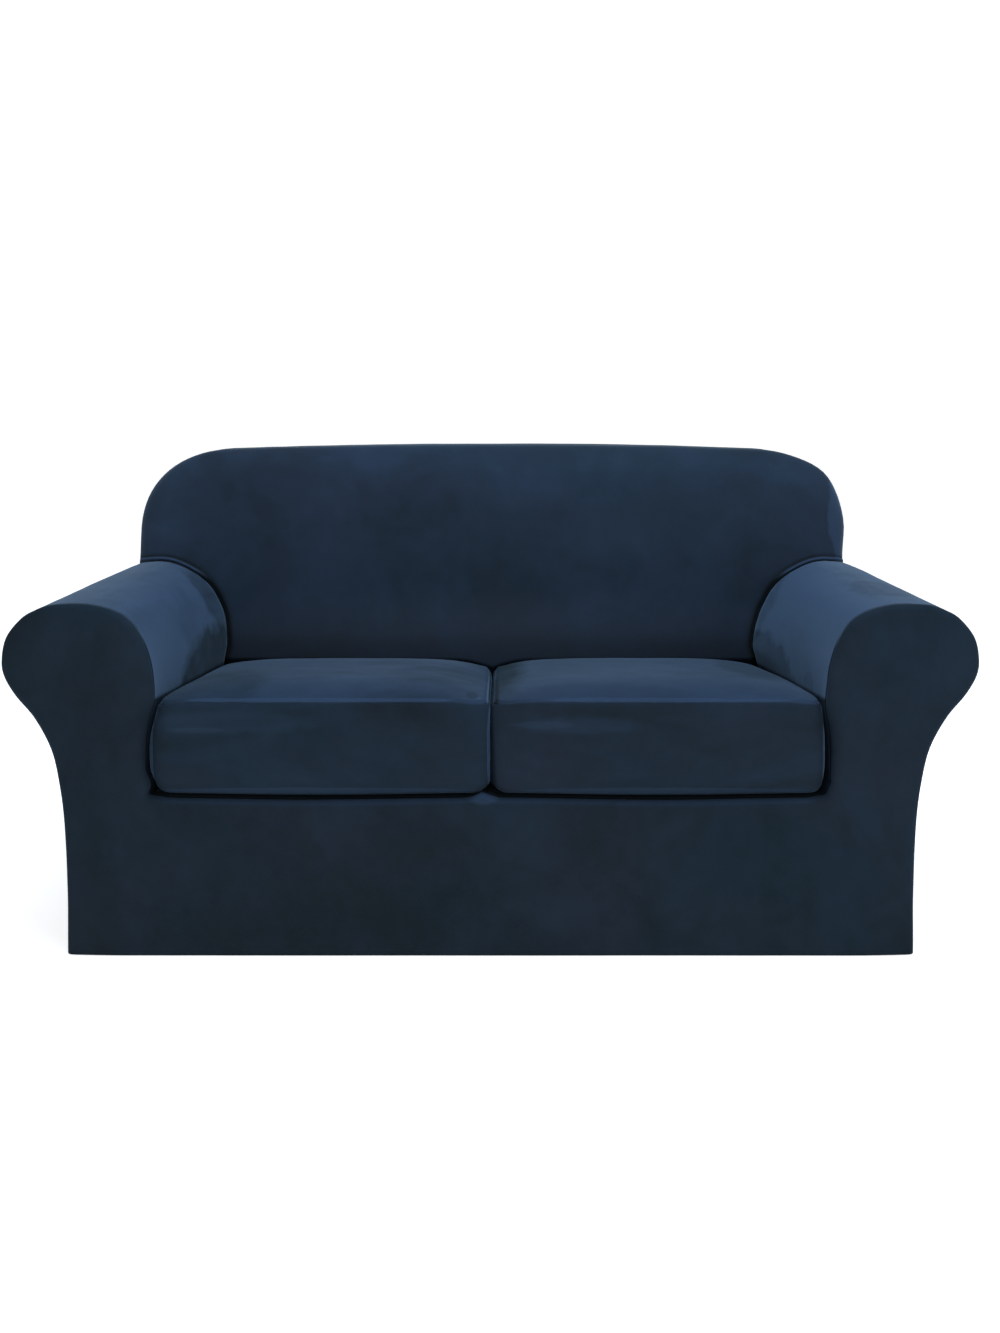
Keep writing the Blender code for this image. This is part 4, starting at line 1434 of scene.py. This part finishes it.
bm = bmesh.new()
bmesh.ops.create_grid(bm, x_segments=int(deck_flat[0] / DECK_GRID),
                      y_segments=int(deck_flat[1] / DECK_GRID), size=0.5)
bmesh.ops.scale(bm, vec=(2 * deck_half, deck_rear - deck_front, 1), verts=bm.verts[:])
bmesh.ops.translate(bm, vec=(0, 0.5 * (deck_front + deck_rear), DECK_HEIGHT), verts=bm.verts[:])
soften(bm, lambda point: 0.0)
tuck_under(bm, beside_or_behind, DECK_ALLOWANCE)
deck_velvet = velvet("deck_velvet", 7.0, lift=DECK_PAINTED_SHADE_LIFT)
finish_panel(bm, "deck", deck_velvet, deck_flat)

# %% [markdown]
# ## Seat-cushion covers
#
# Each cushion has its own cover: a top panel and a boxing that goes round the
# four sides and turns under. The covers are drawn as rings on a rounded plan.
# A profile gives the inset and the height of each ring, so the sides bulge, the
# bottom edge is round, and the seam sits just under the upper edge. The top is
# crowned, and lower towards the rear, as a cushion in use is. Near the middle
# the two covers lean against each other, and a valley opens between them
# towards the back. The right one is pressed in a little by its arm.

# %% Cushion plan and profile
CUSHION_NEAR = 0.0065
CUSHION_FAR = 0.5890
CUSHION_FRONT = 0.008
CUSHION_REAR = 0.556
CORNER_RADIUS = 0.030
CORNER_STEPS = 10
SIDE_STEPS = 34
RAKE = 0.21
REAR_NARROWING = 0.050
CORNER_DROOP = 0.013
DROOP_POWER = 10
SEAM_HEIGHT = 0.1690
BOXING_PROFILE = [
    (0.0600, 0.0006), (0.0400, 0.0011), (0.0220, 0.0047), (0.0110, 0.0068),
    (0.0045, 0.0124), (0.0000, 0.0243), (-0.0040, 0.0500), (-0.0050, 0.0850), (-0.0040, 0.1180),
    (-0.0010, 0.1430), (0.0040, 0.1630), (0.0080, SEAM_HEIGHT),
]
BOXING_STEPS = 4
TOP_INSETS = [0.0080, 0.0100, 0.0120, 0.0150, 0.0190, 0.0240, 0.0300, 0.0380]
TOP_GRID = 0.011
TOP_EDGE_RISE = 0.0060
TOP_CROWN_HEIGHT = 0.0250
TOP_CROWN_POWER = 5
TOP_CORNER_SHARE = 0.20
TOP_CORNER_REACH = 0.060
NEAR_LEAN = 0.0135
NEAR_PRESS = 0.0055
FAR_BULGE = 0.0045
RIGHT_PRESS = 0.0058
RIGHT_PRESS_TOP = 0.0030
LEAN_REACH = 0.060
LEAN_LEVELS = (0.10, 0.15)
NEAR_PRESS_LEVELS = ((0.006, 0.022), (0.10, 0.15))
FAR_BULGE_LEVELS = ((0.01, 0.05), (0.09, 0.15))
RIGHT_PRESS_LEVELS = (0.13, 0.165)
CONTACT = 0.0012
VALLEY_FRONT = 0.10
VALLEY_REACH = 0.080
VALLEY_DEPTH = 0.014
VALLEY_POWER = 1.8
CROWN_MARGIN = 0.012

centre_x = 0.5 * (CUSHION_NEAR + CUSHION_FAR)
centre_y = 0.5 * (CUSHION_FRONT + CUSHION_REAR)
half_x = 0.5 * (CUSHION_FAR - CUSHION_NEAR)
half_y = 0.5 * (CUSHION_REAR - CUSHION_FRONT)
print("a cushion cover is", round(2 * half_x, 3), "by", round(2 * half_y, 3), "m, and",
      round(SEAM_HEIGHT + TOP_EDGE_RISE + TOP_CROWN_HEIGHT, 3), "m high at the front")

# %% Rings of the plan
def plan_ring(inset):
    """Rounded rectangle, inset from the plan and centred on it."""
    share = TOP_CORNER_SHARE * min(1.0, max(0.0, inset) / TOP_CORNER_REACH)
    radius = max(CORNER_RADIUS - inset, share * (half_y - inset))
    reach_x = half_x - inset - radius
    reach_y = half_y - inset - radius
    corners = []
    for quarter, (sign_x, sign_y) in enumerate(((1, 1), (-1, 1), (-1, -1), (1, -1))):
        corner = []
        for angle in quarter_steps(CORNER_STEPS):
            turn = quarter * 0.5 * math.pi + angle
            corner.append((sign_x * reach_x + radius * math.cos(turn),
                           sign_y * reach_y + radius * math.sin(turn)))
        corners.append(np.array(corner))
    ring = []
    for here, there in zip(corners, corners[1:] + corners[:1]):
        ring.extend(here)
        for step in range(1, SIDE_STEPS):
            ring.append(here[-1] + (there[0] - here[-1]) * step / SIDE_STEPS)
    return ring

# %% Place of a point on a cushion cover
def crown_share(distance, half_size):
    """Share of the crown reached at a distance from the edge of the top."""
    left = 1 - min(max(distance / half_size, 0.0), 1.0)
    return 1 - left ** TOP_CROWN_POWER


def cushion_point(side, x, y, height):
    """Place of one plan point, on the crowned top where height is None.

    x and y count from the middle of the plan; x grows away from the other cushion.
    """
    back_share = (y + half_y) / (2 * half_y)
    droop = (min(1.0, abs(x / half_x)) * min(1.0, abs(y / half_y))) ** DROOP_POWER
    level = height
    if level is None:
        share = (crown_share(half_x - CROWN_MARGIN - abs(x), half_x)
                 * crown_share(half_y - CROWN_MARGIN - abs(y), half_y))
        level = SEAM_HEIGHT + TOP_EDGE_RISE + TOP_CROWN_HEIGHT * share
    level *= 1 - RAKE * back_share
    dip = max(0.0, 1 - (centre_x + x) / VALLEY_REACH) ** VALLEY_POWER
    dip *= ease(back_share, VALLEY_FRONT, 1.0)
    level -= (CORNER_DROOP * droop + VALLEY_DEPTH * dip) * min(1.0, level / SEAM_HEIGHT)
    far_share = max(0.0, x + half_x) / (2 * half_x)
    narrow = 1 - REAR_NARROWING * back_share ** 2 * far_share
    near_share = max(0.0, 1 - (x + half_x) / LEAN_REACH)
    lean = NEAR_LEAN * near_share ** 2 * ease(level, *LEAN_LEVELS)
    lean += NEAR_PRESS * near_share ** 2 * band(level, *NEAR_PRESS_LEVELS)
    side_share = max(0.0, 1 - (half_x - x) / LEAN_REACH)
    if side < 0:
        lean -= FAR_BULGE * side_share ** 2 * band(level, *FAR_BULGE_LEVELS)
    else:
        press = RIGHT_PRESS + (RIGHT_PRESS_TOP - RIGHT_PRESS) * ease(level, *RIGHT_PRESS_LEVELS)
        lean += press * side_share ** 2
    across = max((centre_x + x) * narrow - lean, CONTACT)
    return side * across, centre_y + y, DECK_HEIGHT + level

# %% [markdown]
# The boxing is its profile extruded ring by ring. The top starts at the seam
# with a few close rings, and its middle is filled and sliced like the other
# flat areas, then lifted onto the crown.

# %% Sheets of a cushion cover
SEAM_DRAW = 0.0006
SEAM_DRAW_WIDTH = 0.0022
CALM_LEVEL = 0.006
CALM_WIDTH = 0.02
CUSHION_UNEVENNESS = (0.0014, 0.0005)


def boxing_sheet(side):
    """Sides of a cushion cover and the band that turns under."""
    profile = smooth_curve(BOXING_PROFILE, BOXING_STEPS)
    before, seam = profile[-2], profile[-1]
    profile[-1] = seam - (seam - before) / np.linalg.norm(seam - before) * SEAM_GAP
    bm = bmesh.new()
    row = None
    for inset, height in profile:
        points = [cushion_point(side, x, y, height) for x, y in plan_ring(inset)]
        row = next_row(bm, row, points, True)
    return bm


def top_sheet(side):
    """Crowned top of a cushion cover."""
    bm = bmesh.new()
    plan = [plan_ring(inset) for inset in TOP_INSETS]
    row = start_row(bm, [(x, 0.0, y) for x, y in plan[0]], True)
    rows = [row]
    for ring in plan[1:]:
        row = extrude_row(bm, row, [(x, 0.0, y) for x, y in ring], True)
        rows.append(row)
    x_cuts = even_cuts(-half_x, half_x, TOP_GRID)
    y_cuts = even_cuts(-half_y, half_y, TOP_GRID)
    slice_faces(bm, fill_loop(bm, row), x_cuts, y_cuts)
    seam_row = set(rows[0])
    second_row = set(rows[1])
    for vert in bm.verts:
        x, y = vert.co.x, vert.co.z
        height = None
        if vert in seam_row:
            height = SEAM_HEIGHT
        elif vert in second_row:
            height = SEAM_HEIGHT + 0.5 * TOP_EDGE_RISE
        vert.co = cushion_point(side, x, y, height)
    return bm


def cushion_softness(seed):
    """Unevenness of a cushion cover; its seam is drawn in and its underside is calm."""
    def move(point):
        rise = point.z - DECK_HEIGHT
        back_share = (point.y - CUSHION_FRONT) / (CUSHION_REAR - CUSHION_FRONT)
        seam_level = SEAM_HEIGHT * (1 - RAKE * back_share)
        calm = min(1.0, max(0.0, (rise - CALM_LEVEL) / CALM_WIDTH))
        drawn = SEAM_DRAW * hump(rise, seam_level, SEAM_DRAW_WIDTH)
        return calm * unevenness(point, seed, *CUSHION_UNEVENNESS) - drawn
    return move

# %% [markdown]
# The tops are pale where the pile is brushed flat, with darker places where some
# weight has pressed it up again. Their high share of laid pile is partly painted
# light, a painted highlight runs just above the front seam and along the left
# cover's side where the two meet, and the right cover's side there has painted
# shade. The boxing is darker, like the front panel, with a painted highlight
# along the rounded edges at its sides and bottom. Under the boxing, and on the
# right cushion's side where the two meet, the cloth is in shade.

# %% Cushion velvet
CUSHION_SEEDS = {-1: 2.7, 1: 4.1}
CUSHION_STRETCH = (0.6, 1.0, 1.6)
BOXING_FLAT = (2.27, 0.25)
TOP_FLAT = (0.60, 0.57)
TOP_CONTRAST = 0.7
BOXING_CONTRAST = 0.5
# shares of laid pile, partly painted light on the tops
TOP_LIFTS_WITH_PAINTED_LIGHT = {-1: 0.61, 1: 0.67}
BOXING_LIFT = 0.18
# Brushed marks and painted light. On each cover the thin mark just behind the front edge, above the
# seam, is a painted highlight; on the left cover the narrow mark at x = -0.003 is a painted
# highlight along its side by the middle; on the right cover the first two marks are painted shade
# on its side by the middle.
TOP_MARKS_AND_PAINTED_LIGHT = {
    -1: (((-0.50, 0.10, 0.43), (0.10, 0.16, 0.05), -0.26, 3.0),
         ((-0.10, 0.20, 0.44), (0.09, 0.10, 0.05), -0.18, 3.0),
         ((-0.30, 0.014, 0.438), (0.29, 0.010, 0.006), 0.45),
         ((-0.032, 0.050, 0.455), (0.013, 0.030, 0.030), -0.22),
         ((-0.020, 0.035, 0.455), (0.005, 0.010, 0.030), 0.30),
         ((-0.003, 0.200, 0.430), (0.006, 0.220, 0.050), 0.35)),
    1: (((0.010, 0.36, 0.42), (0.050, 0.30, 0.08), -0.50, 1.6),
        ((0.004, 0.10, 0.44), (0.010, 0.20, 0.06), -0.45, 2.0),
        ((0.50, 0.30, 0.43), (0.06, 0.16, 0.05), -0.22, 3.0),
        ((0.30, 0.014, 0.438), (0.28, 0.010, 0.006), 0.35)),
}
# Brushed streaks and painted light: the narrow marks on the upright corners and the flat one along
# the bottom edge are painted highlights; the wider ones higher up are brushed streaks.
BOXING_MARKS_AND_PAINTED_LIGHT = {
    -1: (((-0.45, 0.0, 0.400), (0.14, 0.20, 0.018), 0.14, 2.0),
         ((-0.51, 0.0, 0.387), (0.048, 0.05, 0.005), 0.16, 2.5),
         ((-0.5938, 0.020, 0.330), (0.0062, 0.030, 0.070), 0.95),
         ((-0.0015, 0.014, 0.350), (0.0045, 0.030, 0.080), 0.80),
         ((-0.30, 0.010, 0.2805), (0.27, 0.020, 0.006), 0.24)),
    1: (((0.16, 0.0, 0.395), (0.10, 0.20, 0.014), 0.14, 2.0),
        ((0.09, 0.0, 0.396), (0.055, 0.05, 0.006), 0.14, 2.5),
        ((0.5855, 0.020, 0.330), (0.0064, 0.030, 0.070), 0.95),
        ((0.30, 0.010, 0.2805), (0.26, 0.020, 0.006), 0.20)),
}
UNDER_EDGE = (0.2720, 0.004)
NEAR_SHADE = 0.65
NEAR_SHADE_REACH = 0.0135
NEAR_SHADE_SLOPE = 0.045
NEAR_SHADE_FOOT = 0.27
NEAR_SHADE_FADE = 0.006

# %% Shade of the boxing, and both cushion covers
def boxing_crease(side):
    """Shade under a cushion cover, and on the near side of the right one."""
    def shade(x, y, z):
        under = below(z, *UNDER_EDGE)
        if side < 0:
            return under
        reach = NEAR_SHADE_REACH - (z - NEAR_SHADE_FOOT) * NEAR_SHADE_SLOPE
        return under + falling(x, reach, NEAR_SHADE_FADE) * NEAR_SHADE
    return shade


for name, side in (("cushion_left", -1), ("cushion_right", 1)):
    inside_point = (side * centre_x, centre_y, DECK_HEIGHT + 0.08)
    seed = CUSHION_SEEDS[side]
    parts = (
        ("boxing", boxing_sheet, BOXING_FLAT, BOXING_LIFT, BOXING_CONTRAST,
         BOXING_MARKS_AND_PAINTED_LIGHT[side], boxing_crease(side)),
        ("top", top_sheet, TOP_FLAT, TOP_LIFTS_WITH_PAINTED_LIGHT[side], TOP_CONTRAST, TOP_MARKS_AND_PAINTED_LIGHT[side], None),
    )
    for part, sheet, flat, lift, contrast, marks_and_painted_light, crease in parts:
        bm = sheet(side)
        face_away_from(bm, inside_point)
        soften(bm, cushion_softness(seed), body=False)
        cover_velvet = velvet(name + "_" + part + "_velvet", seed, lift=lift,
                              stretch=CUSHION_STRETCH, contrast=contrast,
                              marks_and_painted_light=marks_and_painted_light, crease=crease)
        finish_panel(bm, name + "_" + part, cover_velvet, flat)
